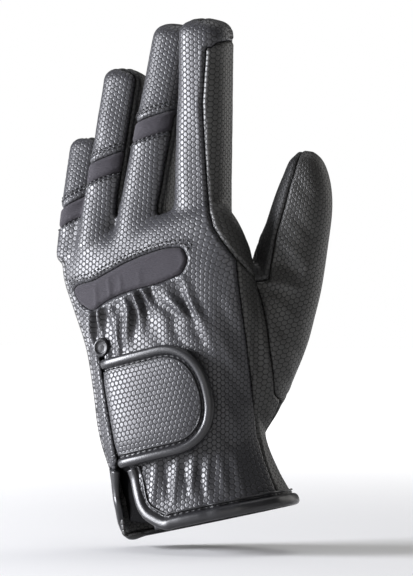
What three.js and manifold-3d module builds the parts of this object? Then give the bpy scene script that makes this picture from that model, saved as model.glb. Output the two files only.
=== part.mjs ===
// A left riding glove, worn shape: hollow, fingers up, back of the hand towards -Y, thumb towards +X.
// The origin is the middle of the wrist opening. All lengths are in millimetres.
import * as THREE from 'three';
import { mergeVertices } from 'three/addons/utils/BufferGeometryUtils.js';
import Module from 'manifold-3d';

const wasm = await Module();
wasm.setup();

// Driving dimensions
const wall = 1.6;
const seam_gap = 0.3;
const palm_length = 136;
const palm_breadth = 92;
const palm_depth = 35;
const cuff_breadth = 80;
const cuff_depth = 52;
const cuff_tilt = 12.6;
const finger_depth_ratio = 0.96;
const index_length = 86;
const index_breadth = 23;
const middle_length = 86;
const middle_breadth = 21.8;
const ring_length = 70;
const ring_breadth = 19.8;
const little_length = 51;
const little_breadth = 17.6;
const thumb_length = 118;
const thumb_breadth = 39;
const thumb_depth = 31;
const band_width = 9.4;
const crescent_length = 62;
const crescent_width = 15;
const gather_depth = 0.75;
const gather_count = 10;
const cuff_fold_depth = 0.9;
const cuff_fold_count = 6;
const slit_width = 2.4;
const slit_mouth = 15;
const slit_length = 74;
const binding_diameter = 4;
const strap_length = 52;
const strap_width = 49;
const strap_thickness = 2.2;
const strap_binding_diameter = 3.8;
const strap_lift = 2;
const strap_slope = 10.5;
const stay_diameter = 3;
const gusset_thickness = 1;
const gusset_clearance = 1.5;
const gusset_margin = 1.3;

const radians = THREE.MathUtils.degToRad;

// Sections of the hand, from the wrist opening up: places and sizes are shares of the named sizes.
// up and side place the middle, breadth and depth size the section, tilt and yaw turn it (degrees),
// and square is the exponent of its superellipse.
const palm_sections = [
  { up: 0.0, side: 0.012, breadth: 1.0, depth: 1.0, tilt: 1.0, yaw: 0, square: 2.3, cuff: 1 },
  { up: 0.095, side: -0.045, breadth: 0.94, depth: 0.905, tilt: 1.0, yaw: 0, square: 2.3, cuff: 1 },
  { up: 0.205, side: -0.101, breadth: 0.905, depth: 0.83, tilt: 1.03, yaw: 0, square: 2.35, cuff: 1 },
  { up: 0.35, side: -0.132, breadth: 0.839, depth: 1.17, tilt: 1.03, yaw: 1, square: 2.4, cuff: 0 },
  { up: 0.485, side: -0.15, breadth: 0.89, depth: 1.12, tilt: 1.03, yaw: 3, square: 2.45, cuff: 0 },
  { up: 0.62, side: -0.18, breadth: 0.955, depth: 1.05, tilt: 1.03, yaw: 5, square: 2.5, cuff: 0 },
  { up: 0.75, side: -0.235, breadth: 1.015, depth: 0.95, tilt: 1.06, yaw: 7, square: 2.5, cuff: 0 },
  { up: 0.86, side: -0.295, breadth: 1.03, depth: 0.84, tilt: 1.1, yaw: 8, square: 2.6, cuff: 0 },
  { up: 0.925, side: -0.33, breadth: 0.99, depth: 0.68, tilt: 1.15, yaw: 9, square: 2.6, cuff: 0 },
  { up: 0.96, side: -0.34, breadth: 0.88, depth: 0.42, tilt: 1.25, yaw: 9, square: 2.5, cuff: 0 },
];

// Fingers: the root is placed by shares of the palm; lean and curl are degrees,
// band and sink are the places of the stretch band and of the buried root.
const fingers = [
  {
    name: 'index', length: index_length, breadth: index_breadth, side: -0.016, up: 0.985, back: -0.03,
    lean: 2.5, curl: -3, taper: 0.96, sink: 15, flare: 0.14,
  },
  {
    name: 'middle', length: middle_length, breadth: middle_breadth, side: -0.333, up: 0.99, back: 0.03,
    lean: 7.9, curl: 8, taper: 0.97, sink: 15, flare: 0.08, band: 0.465, band_slope: 23,
  },
  {
    name: 'ring', length: ring_length, breadth: ring_breadth, side: -0.573, up: 0.965, back: 0.11,
    lean: 6.4, curl: 8, taper: 0.97, sink: 14, flare: 0.06, band: 0.36, band_slope: 24,
  },
  {
    name: 'little', length: little_length, breadth: little_breadth, side: -0.735, up: 0.885, back: 0.2,
    lean: 0, curl: 16, taper: 0.95, sink: 7, flare: 0, band: 0.34, band_slope: 25,
  },
];

// Thumb sections: up and side are shares of the thumb's length from its heel, back of the palm's depth.
const thumb_sections = [
  { up: -0.02, side: 0.075, back: 0.17, breadth: 0.5, depth: 0.72 },
  { up: 0.06, side: 0.1, back: 0.2, breadth: 0.74, depth: 0.9 },
  { up: 0.2, side: 0.16, back: 0.26, breadth: 0.95, depth: 1.04 },
  { up: 0.36, side: 0.215, back: 0.34, breadth: 0.97, depth: 1.05 },
  { up: 0.52, side: 0.27, back: 0.4, breadth: 0.86, depth: 0.93 },
  { up: 0.66, side: 0.305, back: 0.42, breadth: 0.76, depth: 0.84 },
  { up: 0.78, side: 0.335, back: 0.42, breadth: 0.69, depth: 0.76 },
  { up: 0.88, side: 0.352, back: 0.41, breadth: 0.56, depth: 0.66 },
  { up: 0.96, side: 0.356, back: 0.4, breadth: 0.38, depth: 0.48 },
  { up: 0.995, side: 0.355, back: 0.4, breadth: 0.13, depth: 0.2 },
];
const thumb_heel = { up: 0.325, side: -0.005 };

// The crescent across the back: along is a share of its length, low and high of its width.
const crescent_stations = [
  { along: 0.0, low: -0.02, high: 0.06 },
  { along: 0.03, low: -0.26, high: 0.15 },
  { along: 0.09, low: -0.45, high: 0.22 },
  { along: 0.2, low: -0.57, high: 0.31 },
  { along: 0.34, low: -0.27, high: 0.56 },
  { along: 0.53, low: 0.0, high: 0.9 },
  { along: 0.75, low: 0.2, high: 1.18 },
  { along: 0.88, low: 0.38, high: 1.26 },
  { along: 0.96, low: 0.53, high: 1.23 },
  { along: 1.0, low: 0.85, high: 0.96 },
];
const crescent_place = { up: 0.741, side: -0.69 };

// Catmull-Rom value of one column of a table at a place measured in rows.
function column(rows, name, place) {
  const last = rows.length - 1;
  const at = Math.min(Math.max(place, 0), last);
  const i = Math.min(Math.floor(at), last - 1);
  const t = at - i;
  const p = [i - 1, i, i + 1, i + 2].map((k) => rows[Math.min(Math.max(k, 0), last)][name]);
  const bend = 2 * p[0] - 5 * p[1] + 4 * p[2] - p[3];
  const twist = 3 * p[1] - p[0] - 3 * p[2] + p[3];
  return p[1] + 0.5 * t * (p[2] - p[0] + t * (bend + t * twist));
}

// One section of the hand: its middle, its two axes and its half sizes.
function palmSection(place, inset = 0) {
  const get = (name) => column(palm_sections, name, place);
  const cuff = Math.min(Math.max(get('cuff'), 0), 1);
  const breadth = get('breadth') * (cuff * cuff_breadth + (1 - cuff) * palm_breadth);
  const depth = get('depth') * (cuff * cuff_depth + (1 - cuff) * palm_depth);
  const tilt = radians(get('tilt') * cuff_tilt);
  const yaw = radians(get('yaw'));
  return {
    middle: new THREE.Vector3(get('side') * palm_breadth, 0, get('up') * palm_length),
    across: new THREE.Vector3(Math.cos(tilt) * Math.cos(yaw), -Math.sin(yaw), Math.sin(tilt)).normalize(),
    through: new THREE.Vector3(0, 1, 0),
    half_breadth: breadth / 2 - inset,
    half_depth: depth / 2 - inset,
    square: get('square'),
  };
}

// Points round a section. Each spot has share, its place across, and side, -1 on the back and 1 on the
// palm side; relief is an outward push that depends on the spot.
function ringPoints(section, spots, relief = () => 0) {
  return spots.map(({ share, side }) => {
    const rest = Math.max(1 - Math.abs(share) ** section.square, 0) ** (1 / section.square);
    const push = relief(share, side);
    const across = share * section.half_breadth;
    const through = side * (rest * section.half_depth + push * rest);
    return section.middle.clone()
      .addScaledVector(section.across, across)
      .addScaledVector(section.through, through);
  });
}

// Spots round a section, closer together along the back than along the palm side.
function spotList(back_steps, palm_steps) {
  const spots = [];
  const place = (k, steps) => {
    const even = (2 * k) / steps - 1;
    return (even + Math.sin((Math.PI / 2) * even)) / 2;
  };
  for (let k = 0; k < back_steps; k += 1) spots.push({ share: place(k, back_steps), side: -1 });
  for (let k = 0; k < palm_steps; k += 1) spots.push({ share: -place(k, palm_steps), side: 1 });
  return spots;
}

// Spots at even angles round a section, for the fingers and the thumb.
function roundSpots(steps, square) {
  const spots = [];
  for (let k = 0; k < steps; k += 1) {
    const angle = (2 * Math.PI * (k + 0.5)) / steps;
    const share = Math.sign(-Math.cos(angle)) * Math.abs(Math.cos(angle)) ** (2 / square);
    spots.push({ share, side: angle < Math.PI ? -1 : 1 });
  }
  return spots;
}

// A closed solid through rings of points, with a fan over each end.
function loftGeometry(rings) {
  const count = rings[0].length;
  const points = rings.flat();
  const faces = [];
  for (let i = 0; i + 1 < rings.length; i += 1) {
    for (let j = 0; j < count; j += 1) {
      const k = (j + 1) % count;
      const a = i * count + j;
      const b = i * count + k;
      faces.push([a, b, b + count], [a, b + count, a + count]);
    }
  }
  const mean = (ring) => ring.reduce((sum, p) => sum.add(p), new THREE.Vector3()).divideScalar(count);
  const first = points.length;
  points.push(mean(rings[0]), mean(rings[rings.length - 1]));
  for (let j = 0; j < count; j += 1) {
    const k = (j + 1) % count;
    const top = (rings.length - 1) * count;
    faces.push([first, k, j], [first + 1, top + j, top + k]);
  }
  return facesGeometry(points, faces);
}

function facesGeometry(points, faces) {
  const geometry = new THREE.BufferGeometry();
  geometry.setAttribute('position', new THREE.Float32BufferAttribute(points.flatMap((p) => p.toArray()), 3));
  geometry.setIndex(faces.flat());
  return geometry;
}

// A three.js geometry as a solid that can be joined and cut, turned right side out where needed.
function solid(geometry, merge_distance = 1e-5) {
  const plain = geometry.clone();
  plain.deleteAttribute('normal');
  plain.deleteAttribute('uv');
  const merged = mergeVertices(plain, merge_distance);
  const vertProperties = new Float32Array(merged.attributes.position.array);
  const triVerts = new Uint32Array(merged.index.array);
  if (enclosedVolume(vertProperties, triVerts) < 0) {
    for (let i = 0; i < triVerts.length; i += 3) triVerts.subarray(i, i + 3).reverse();
  }
  return new wasm.Manifold(new wasm.Mesh({ numProp: 3, vertProperties, triVerts }));
}

function enclosedVolume(positions, triangles) {
  const corner = (i) => new THREE.Vector3().fromArray(positions, 3 * triangles[i]);
  let volume = 0;
  for (let i = 0; i < triangles.length; i += 3) {
    volume += corner(i).dot(corner(i + 1).cross(corner(i + 2))) / 6;
  }
  return volume;
}

function joined(solids) {
  return solids.reduce((sum, one) => sum.add(one));
}

function meshGeometry(body) {
  const { vertProperties, triVerts } = body.getMesh();
  const geometry = new THREE.BufferGeometry();
  geometry.setAttribute('position', new THREE.Float32BufferAttribute(vertProperties, 3));
  geometry.setIndex(Array.from(triVerts));
  return geometry;
}

// A finished piece: its seams are welded and the slivers that a cut leaves behind are trimmed off.
const crumb = 0.02;
const weld = 1e-3;
function meshOf(name, body, finish) {
  const welded = solid(meshGeometry(body.simplify(crumb)), weld).decompose();
  const main = welded.reduce((best, one) => (one.volume() > best.volume() ? one : best));
  const geometry = meshGeometry(main).toNonIndexed();
  geometry.computeVertexNormals();
  const mesh = new THREE.Mesh(geometry, new THREE.MeshStandardMaterial(finish));
  mesh.name = name;
  return mesh;
}

// Shirring below the crescent and soft folds above the cuff, on the back only: low and high are shares of
// the hand's length, middle and half are places across its section.
const gather_field = { low: 0.5, high: 0.66, middle: -0.2, half: 0.72 };
const fold_field = { low: 0.02, high: 0.2, middle: 0, half: 0.7 };
function palmRelief(place) {
  const up = column(palm_sections, 'up', place);
  const strength = ({ low, high, middle, half }, share) => {
    const along = 1 - ((2 * up - low - high) / (high - low)) ** 2;
    const across = 1 - ((share - middle) / half) ** 4;
    return Math.max(0, along) * Math.max(0, across);
  };
  const wave = ({ middle, half }, count, share) => Math.cos((Math.PI * count * (share - middle)) / half);
  return (share, side) => {
    if (side > 0) return 0;
    const gathered = strength(gather_field, share) * wave(gather_field, gather_count, share);
    const folded = strength(fold_field, share) * wave({ middle: 0, half: 1 }, cuff_fold_count, share);
    return gather_depth * gathered + cuff_fold_depth * folded;
  };
}

const last_section = palm_sections.length - 1;

const cut_depth = 4 * wall;
const mouth_depth = 3 * wall;
function palmSolid(inset, rows, spots, relief) {
  const rings = [];
  for (let i = 0; i <= rows; i += 1) {
    const place = (last_section * i) / rows;
    rings.push(ringPoints(palmSection(place, inset), spots, relief ? relief(place) : undefined));
  }
  if (inset > 0) {
    const below = palmSection(0, inset);
    below.middle.z -= mouth_depth;
    rings.unshift(ringPoints(below, spots));
  }
  return solid(loftGeometry(rings));
}

// The line through the middle of a finger, and its two axes.
function fingerFrame(finger) {
  const lean = radians(finger.lean);
  const curl = radians(finger.curl);
  const along = new THREE.Vector3(Math.sin(lean), Math.sin(curl), Math.cos(lean)).normalize();
  const across = new THREE.Vector3(Math.cos(lean), 0, -Math.sin(lean));
  const { side, back, up } = finger;
  const root = new THREE.Vector3(side * palm_breadth, back * palm_depth, up * palm_length);
  return { root, along, across, through: new THREE.Vector3().crossVectors(along, across).normalize() };
}

const tip_dome = 0.36;
const tip_square = 2.5;
const finger_square = 2.6;
const thumb_square = 2.2;
const flare_reach = 34;
const tip_rows = [0, 0.5, 0.85, 0.985];
const middle_row = 0.45;

function fingerSolid(finger, inset, steps) {
  const frame = fingerFrame(finger);
  const end = finger.length - inset;
  const dome = tip_dome * finger.breadth;
  const size = (v) => {
    const flare = finger.flare * Math.max(0, 1 - (v + finger.sink) / flare_reach) ** 2;
    const taper = 1 + (finger.taper - 1) * Math.max(v, 0) / finger.length + flare;
    const round = v > end - dome ? (1 - ((v - end + dome) / dome) ** tip_square) ** (1 / tip_square) : 1;
    return [taper, round];
  };
  const stations = [-finger.sink, 0, middle_row * finger.length];
  tip_rows.forEach((share) => stations.push(end - dome + share * dome));
  const spots = roundSpots(steps, finger_square);
  const rings = stations.map((v) => {
    const [taper, round] = size(v);
    const half = (0.5 * finger.breadth * taper - inset) * round;
    return ringPoints({
      middle: frame.root.clone().addScaledVector(frame.along, v),
      across: frame.across,
      through: frame.through,
      half_breadth: half,
      half_depth: half * finger_depth_ratio,
      square: finger_square,
    }, spots);
  });
  return solid(loftGeometry(rings));
}

function thumbSection(place, inset = 0) {
  const get = (name) => column(thumb_sections, name, place);
  const step = 0.05;
  const heel = new THREE.Vector3(thumb_heel.side * palm_breadth, 0, thumb_heel.up * palm_length);
  const point = (at) => heel.clone().add(new THREE.Vector3(
    column(thumb_sections, 'side', at) * thumb_length,
    column(thumb_sections, 'back', at) * palm_depth,
    column(thumb_sections, 'up', at) * thumb_length,
  ));
  const along = point(place + step).sub(point(place - step)).normalize();
  const across = new THREE.Vector3(along.z, 0, -along.x).normalize();
  return {
    middle: point(place),
    along,
    across,
    through: new THREE.Vector3().crossVectors(along, across).normalize(),
    half_breadth: get('breadth') * thumb_breadth / 2 - inset,
    half_depth: get('depth') * thumb_depth / 2 - inset,
    square: thumb_square,
  };
}

function thumbSolid(inset, rows, steps) {
  const spots = roundSpots(steps, thumb_square);
  const rings = [];
  const last = thumb_sections.length - 1;
  for (let i = 0; i <= rows; i += 1) {
    const section = thumbSection((last * i) / rows, inset);
    if (section.half_breadth > 0.5 && section.half_depth > 0.5) rings.push(ringPoints(section, spots));
  }
  return solid(loftGeometry(rings));
}

// The back of the hand at a place across and up: how far out it lies, lift further out.
const edge_share = 0.985;
function backPoint(x, z, lift) {
  let low = 0;
  let high = last_section;
  const above = (place) => {
    const { middle, across } = palmSection(place);
    return z - middle.z - ((x - middle.x) * across.z) / across.x;
  };
  for (let i = 0; i < 24; i += 1) {
    const mid = (low + high) / 2;
    if (above(mid) > 0) low = mid; else high = mid;
  }
  const section = palmSection((low + high) / 2, -lift);
  const across = (x - section.middle.x) / (section.across.x * section.half_breadth);
  const share = Math.min(Math.max(across, -edge_share), edge_share);
  return ringPoints(section, [{ share, side: -1 }])[0];
}

// A closed plate between two sheets of points, front(u, v) and back(u, v), u and v from 0 to 1.
function plateSolid(columns, rows, front, back) {
  const rings = [];
  for (let i = 0; i <= columns; i += 1) {
    const u = i / columns;
    const ring = [];
    for (let j = 0; j <= rows; j += 1) ring.push(front(u, j / rows));
    for (let j = rows; j >= 0; j -= 1) ring.push(back(u, j / rows));
    rings.push(ring);
  }
  return solid(loftGeometry(rings));
}

// A round or flattened tube along a smooth open line, with its flat ends closed.
function tubeSolid(points, diameter, steps, sides, flatness = 1) {
  const line = new THREE.CatmullRomCurve3(points, false, 'centripetal');
  const frames = line.computeFrenetFrames(steps, false);
  const rings = [];
  for (let i = 0; i <= steps; i += 1) {
    const middle = line.getPointAt(i / steps);
    const ring = [];
    for (let j = 0; j < sides; j += 1) {
      const angle = (2 * Math.PI * j) / sides;
      ring.push(middle.clone()
        .addScaledVector(frames.normals[i], (Math.cos(angle) * diameter) / 2)
        .addScaledVector(frames.binormals[i], (Math.sin(angle) * diameter * flatness) / 2));
    }
    rings.push(ring);
  }
  return solid(loftGeometry(rings));
}

// A prism through the whole glove, from front to back, over an outline of [x, z] points.
const reach = 70;
function throughPrism(outline) {
  const ring = (y) => outline.map(([x, z]) => new THREE.Vector3(x, y, z));
  const shape = new THREE.Shape(outline.map(([x, z]) => new THREE.Vector2(x, z)));
  const flat = THREE.ShapeUtils.triangulateShape(shape.getPoints(), []);
  const count = outline.length;
  const faces = flat.flatMap(([a, b, c]) => [[a, b, c], [a + count, c + count, b + count]]);
  for (let j = 0; j < count; j += 1) {
    const k = (j + 1) % count;
    faces.push([j, k + count, k], [j, j + count, k + count]);
  }
  return solid(facesGeometry([...ring(-reach), ...ring(reach)], faces));
}

// The seam height: where the layer of the back, of the sides or of the palm begins, at a place.
const finger_centre = (finger, z) => {
  const { root, along } = fingerFrame(finger);
  return root.clone().addScaledVector(along, (z - root.z) / along.z);
};
const back_seam_shares = { fingers: -0.69, palm: -0.52 };
const palm_seam_shares = { fingers: 0.62, palm: 0.45 };
const knuckle_blend = { from: 0.8, over: 0.2 };
function seamHeight(x, z, shares) {
  const spots = fingers.map((finger) => {
    const centre = finger_centre(finger, z);
    return [centre.x, centre.y + (shares.fingers * finger.breadth * finger_depth_ratio) / 2];
  });
  let i = 0;
  while (i < spots.length - 2 && x < spots[i + 1][0]) i += 1;
  const [[x0, y0], [x1, y1]] = [spots[i], spots[i + 1]];
  const t = Math.min(Math.max((x - x0) / (x1 - x0), 0), 1);
  const on_fingers = y0 + (y1 - y0) * t * t * (3 - 2 * t);
  const place = Math.min(Math.max(z / palm_length, 0), 1) * last_section;
  const section = palmSection(place);
  const on_palm = ((x - section.middle.x) * section.across.y) / section.across.x
    + shares.palm * section.half_depth;
  const blend = Math.min(Math.max((z / palm_length - knuckle_blend.from) / knuckle_blend.over, 0), 1);
  return on_palm + (on_fingers - on_palm) * blend * blend * (3 - 2 * blend);
}
// The layers' sheets reach past the glove on every side.
const field_low = [-1.1 * palm_breadth, -0.2 * palm_length];
const field_high = [0.95 * palm_breadth, 1.85 * palm_length];
const field_steps = [10, 12];
// A block between two seam heights, both sheets split into triangles the same way.
function layerSolid(from, to) {
  const [columns, rows] = field_steps;
  const sheet = (edge) => {
    const points = [];
    for (let i = 0; i <= columns; i += 1) {
      for (let j = 0; j <= rows; j += 1) {
        const x = field_low[0] + ((field_high[0] - field_low[0]) * i) / columns;
        const z = field_low[1] + ((field_high[1] - field_low[1]) * j) / rows;
        points.push(new THREE.Vector3(x, edge(x, z), z));
      }
    }
    return points;
  };
  const points = [...sheet(from), ...sheet(to)];
  const count = points.length / 2;
  const faces = [];
  const wallFaces = (a, b) => faces.push([a, b, b + count], [a, b + count, a + count]);
  const at = (i, j) => i * (rows + 1) + j;
  for (let i = 0; i < columns; i += 1) {
    for (let j = 0; j < rows; j += 1) {
      const [a, b, c, d] = [at(i, j), at(i + 1, j), at(i + 1, j + 1), at(i, j + 1)];
      faces.push([a, b, c], [a, c, d]);
      faces.push([a + count, c + count, b + count], [a + count, d + count, c + count]);
    }
    wallFaces(at(i + 1, 0), at(i, 0));
    wallFaces(at(i, rows), at(i + 1, rows));
  }
  for (let j = 0; j < rows; j += 1) {
    wallFaces(at(0, j), at(0, j + 1));
    wallFaces(at(columns, j + 1), at(columns, j));
  }
  return solid(facesGeometry(points, faces));
}
const back_seam = (offset) => (x, z) => seamHeight(x, z, back_seam_shares) + offset;
const palm_seam = (offset) => (x, z) => seamHeight(x, z, palm_seam_shares) + offset;

// The hollow glove, before it is cut into its panels: rows up the hand and the thumb, spots round them.
const outside = { rows: 14, back_spots: 36, palm_spots: 10, thumb_rows: 10, round_spots: 14 };
const inside = { rows: 9, back_spots: 10, palm_spots: 6, thumb_rows: 8, round_spots: 8 };
const gloveForm = (inset, mesh, relief) => joined([
  palmSolid(inset, mesh.rows, spotList(mesh.back_spots, mesh.palm_spots), relief),
  thumbSolid(inset, mesh.thumb_rows, mesh.round_spots),
  ...fingers.map((finger) => fingerSolid(finger, inset, mesh.round_spots)),
]);
const outer_skin = gloveForm(0, outside, palmRelief);
const hollow = gloveForm(wall, inside);
const shell = outer_skin.subtract(hollow);

// The slit at the little-finger side of the wrist: up and side are shares of the slit's length and
// of the cuff's breadth, open is a share of the mouth's width.
const slit_stations = [
  { up: -0.22, side: -0.335, open: 1.0 },
  { up: 0.0, side: -0.35, open: 1.0 },
  { up: 0.16, side: -0.4, open: 0.9 },
  { up: 0.3, side: -0.435, open: 0.72 },
  { up: 0.42, side: -0.462, open: 0.0 },
  { up: 0.97, side: -0.6, open: 0.0 },
];
const slit_last = slit_stations.length - 1;
const slit_rows = 12;
function slitMiddle(place) {
  const z = column(slit_stations, 'up', place) * slit_length;
  const x = column(slit_stations, 'side', place) * cuff_breadth;
  return [x, z];
}
function slitHalf(place) {
  return (slit_width + (slit_mouth - slit_width) * Math.max(column(slit_stations, 'open', place), 0)) / 2;
}
// A point beside the middle of the slit: out is its height above the back, shift its way across.
function besideSlit(place, out, shift) {
  const [x, z] = slitMiddle(place);
  const outward = backPoint(x, z, 0).sub(backPoint(x, z, -cut_depth)).setZ(0).normalize();
  return backPoint(x - shift * outward.y, z, out);
}
function slitSolid() {
  const rings = [];
  for (let i = 0; i <= slit_rows; i += 1) {
    const place = (slit_last * i) / slit_rows;
    const half = slitHalf(place);
    rings.push([
      besideSlit(place, -cut_depth, -half), besideSlit(place, mouth_depth, -half),
      besideSlit(place, mouth_depth, half), besideSlit(place, -cut_depth, half),
    ]);
  }
  return solid(loftGeometry(rings));
}

const half_gap = seam_gap / 2;
const fingerLine = (finger, v, shift) => {
  const { root, along, across } = fingerFrame(finger);
  const p = root.clone().addScaledVector(along, v).addScaledVector(across, shift);
  return [p.x, p.z];
};
const beyond = 1.5;
const fork_reach = 24;

// The part of one finger between two slanted lines, heights measured along the finger.
function fingerSlice(finger, low, high) {
  const half = finger.breadth;
  const rise = half * Math.tan(radians(finger.band_slope));
  return throughPrism([
    fingerLine(finger, low - rise, -half), fingerLine(finger, low + rise, half),
    fingerLine(finger, high + rise, half), fingerLine(finger, high - rise, -half),
  ]).intersect(fingerSolid(finger, -half_gap, outside.round_spots));
}

// The side strip between the middle lines of two neighbouring fingers.
function forkPrism(left, right) {
  return throughPrism([
    fingerLine(left, -fork_reach, half_gap), fingerLine(right, -fork_reach, -half_gap),
    fingerLine(right, beyond * right.length, -half_gap), fingerLine(left, beyond * left.length, half_gap),
  ]);
}

const [index, middle, ring, little] = fingers;
const back_layer = layerSolid(() => -reach, back_seam(-half_gap));
const side_layer = layerSolid(back_seam(half_gap), palm_seam(-half_gap));
const below_back = layerSolid(back_seam(half_gap), () => reach);

// The thumb is set in along a seam down the side of the hand; its inner side is a strip of its own.
// The seams' places are shares of the palm's breadth and length.
const thumb_seam = [[0.235, 1.3], [0.235, 0.865], [0.25, 0.78], [0.3, 0.6], [0.345, 0.4], [0.36, 0.28]];
const thumb_side_seam = [
  [0.1, 1.3], [0.47, 1.24], [0.455, 1.16], [0.41, 1.06], [0.35, 0.955], [0.295, 0.8], [0.1, 0.79],
];
const strip_seam = [[0.3, 0.765], [0.15, 0.845], [0.0, 0.935]];
const onHand = (shares, right, up) => (
  shares.map(([x, z]) => [x * palm_breadth + right, z * palm_length + up])
);
const right_share = 0.9;
const below_share = -0.2;
const above_share = 2;
const thumbPrism = (shift) => throughPrism(onHand(
  [...thumb_seam, [right_share, thumb_seam.at(-1)[1]], [right_share, thumb_seam[0][1]]],
  shift,
  0,
));
const thumbSidePrism = (shift) => throughPrism(onHand(thumb_side_seam, shift, -shift).reverse());
const stripPrism = (shift) => {
  const [right, , left] = strip_seam;
  const line = onHand([...strip_seam, [right_share, right[1]]], 0, shift);
  const base = onHand([[left[0], below_share], [right_share, below_share]], 0, 0);
  return throughPrism([...line.slice(0, 3), ...base, line[3]]);
};

function crescentOutline(grow) {
  const start = [crescent_place.side * palm_breadth, crescent_place.up * palm_length];
  const spread = (along) => start[0] + (along - 0.5) * (crescent_length + 2 * grow) + crescent_length / 2;
  const edge = (name, shift) => crescent_stations.map((station) => [
    spread(station.along), start[1] + station[name] * crescent_width + shift,
  ]);
  return [...edge('low', -grow), ...edge('high', grow).reverse()];
}

const leather = { color: 0x434346, roughness: 0.5, metalness: 0 };
const dark_leather = { color: 0x2c2c2e, roughness: 0.6, metalness: 0 };
const stretch = { color: 0x4c484e, roughness: 0.85, metalness: 0 };
const edging = { color: 0x1d1d21, roughness: 0.4, metalness: 0 };

const group = new THREE.Group();
const thumb_whole = shell.intersect(thumbPrism(half_gap));
const hand = shell.subtract(thumbPrism(-half_gap)).subtract(slitSolid());

let back_panel = hand.intersect(back_layer);
[middle, ring, little].forEach((finger) => {
  const low = finger.band * finger.length - band_width / 2;
  const high = low + band_width;
  const top = beyond * finger.length;
  group.add(meshOf(`${finger.name}_band`, back_panel.intersect(fingerSlice(finger, low, high)), stretch));
  const tip = fingerSlice(finger, high + seam_gap, top);
  group.add(meshOf(`${finger.name}_tip`, back_panel.intersect(tip), leather));
  back_panel = back_panel.subtract(fingerSlice(finger, low - seam_gap, top));
});
group.add(meshOf('crescent_insert', back_panel.intersect(throughPrism(crescentOutline(0))), stretch));
back_panel = back_panel.subtract(throughPrism(crescentOutline(seam_gap)));
group.add(meshOf('back_panel', back_panel, leather));

const sides = hand.intersect(side_layer);
group.add(meshOf('fork_strip_little_ring', sides.intersect(forkPrism(little, ring)), dark_leather));
group.add(meshOf('fork_strip_ring_middle', sides.intersect(forkPrism(ring, middle)), dark_leather));
group.add(meshOf('fork_strip_middle_index', sides.intersect(forkPrism(middle, index)), dark_leather));
const index_foot = 0.3;
const index_side_prism = throughPrism([
  fingerLine(index, beyond * index.length, half_gap), fingerLine(index, -fork_reach, half_gap),
  ...onHand([[0, index_foot], [right_share, index_foot], [right_share, above_share]], 0, 0),
]);
group.add(meshOf('index_side', sides.intersect(index_side_prism).subtract(stripPrism(half_gap)), leather));
group.add(meshOf('thumb_strip', sides.intersect(stripPrism(-half_gap)), leather));

const side_corner = 0.6;
const side_reach = throughPrism([
  fingerLine(little, 2 * beyond * little.length, -half_gap), fingerLine(little, -fork_reach, -half_gap),
  ...onHand([[0, side_corner], [0, below_share]], -half_gap, 0),
  ...onHand([[right_share, below_share], [right_share, above_share]], 0, 0),
]);
const side_block = layerSolid(back_seam(-half_gap), palm_seam(half_gap)).intersect(side_reach);
group.add(meshOf('palm_panel', hand.intersect(below_back).subtract(side_block), leather));

group.add(meshOf('thumb_side', thumb_whole.intersect(thumbSidePrism(-half_gap)), dark_leather));
group.add(meshOf('thumb_panel', thumb_whole.subtract(thumbSidePrism(half_gap)), leather));

// The edging round the wrist opening: from one side of the slit, round the cuff, to its other side.
const edge_middle = binding_diameter / 2 + seam_gap;
const edge_clearance = edge_middle + 2 * seam_gap;
const riser_places = [3, 2.5, 2, 1.5, 1.05];
const corner_place = 0.6;
const cuff_back_shares = [-0.48, -0.25, 0, 0.25, 0.48, 0.7, 0.87, 0.96];
const cuff_palm_shares = [1, 0.93, 0.78, 0.55, 0.3, 0, -0.3, -0.55, -0.78, -0.93, -1];
function cuffBindingPoints() {
  const cuff = palmSection(0, wall / 2);
  const down = new THREE.Vector3(cuff.across.z, 0, -cuff.across.x);
  const below = (share, side) => ringPoints(cuff, [{ share, side }])[0].addScaledVector(down, edge_middle);
  const beside = (place, sign) => besideSlit(place, -wall / 8, sign * (slitHalf(place) - edge_clearance));
  const risers = (sign) => [
    ...riser_places.map((place) => beside(place, sign)),
    beside(corner_place, sign).addScaledVector(down, edge_middle + seam_gap),
  ];
  return [
    ...risers(1),
    ...cuff_back_shares.map((share) => below(share, -1)),
    ...cuff_palm_shares.map((share) => below(share, 1)),
    ...risers(-1).reverse(),
  ];
}
const cuff_steps = 64;
const tube_sides = 7;
const cuff_binding = tubeSolid(cuffBindingPoints(), binding_diameter, cuff_steps, tube_sides);
group.add(meshOf('cuff_binding', cuff_binding, edging));

// The strap across the back of the wrist: along it u runs from 0 at the slit to 1 at the round end.
const strap_place = { up: 0.333, side: -0.423 };
const round_start = 0.56;
const round_square = 2.3;
const root_lift = 0.5;
const rise_share = 0.1;
function strapPoint(u, across, lift) {
  const slope = radians(strap_slope);
  const along = u * strap_length;
  return backPoint(
    strap_place.side * palm_breadth + along * Math.cos(slope) - across * Math.sin(slope),
    strap_place.up * palm_length + along * Math.sin(slope) + across * Math.cos(slope),
    lift,
  );
}
function strapHalf(u, inset) {
  const straight = round_start * strap_length;
  const round = Math.max((u * strap_length - straight) / (strap_length - straight - inset), 0);
  return (strap_width / 2 - inset) * Math.max(1 - round ** round_square, 0) ** (1 / round_square);
}
const strapRise = (u) => root_lift + (strap_lift - root_lift) * Math.min(u / rise_share, 1);
const panel_inset = strap_binding_diameter + seam_gap;
const panel_end = 0.998 - panel_inset / strap_length;
function strapSheet(lift) {
  return (u, v) => {
    const at = panel_end * Math.sin((Math.PI / 2) * u);
    return strapPoint(at, (2 * v - 1) * strapHalf(at, panel_inset), strapRise(at) + lift);
  };
}
const strap_grid = [12, 5];
const strap_panel = plateSolid(...strap_grid, strapSheet(strap_thickness), strapSheet(0));
group.add(meshOf('strap_panel', strap_panel, leather));

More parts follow.
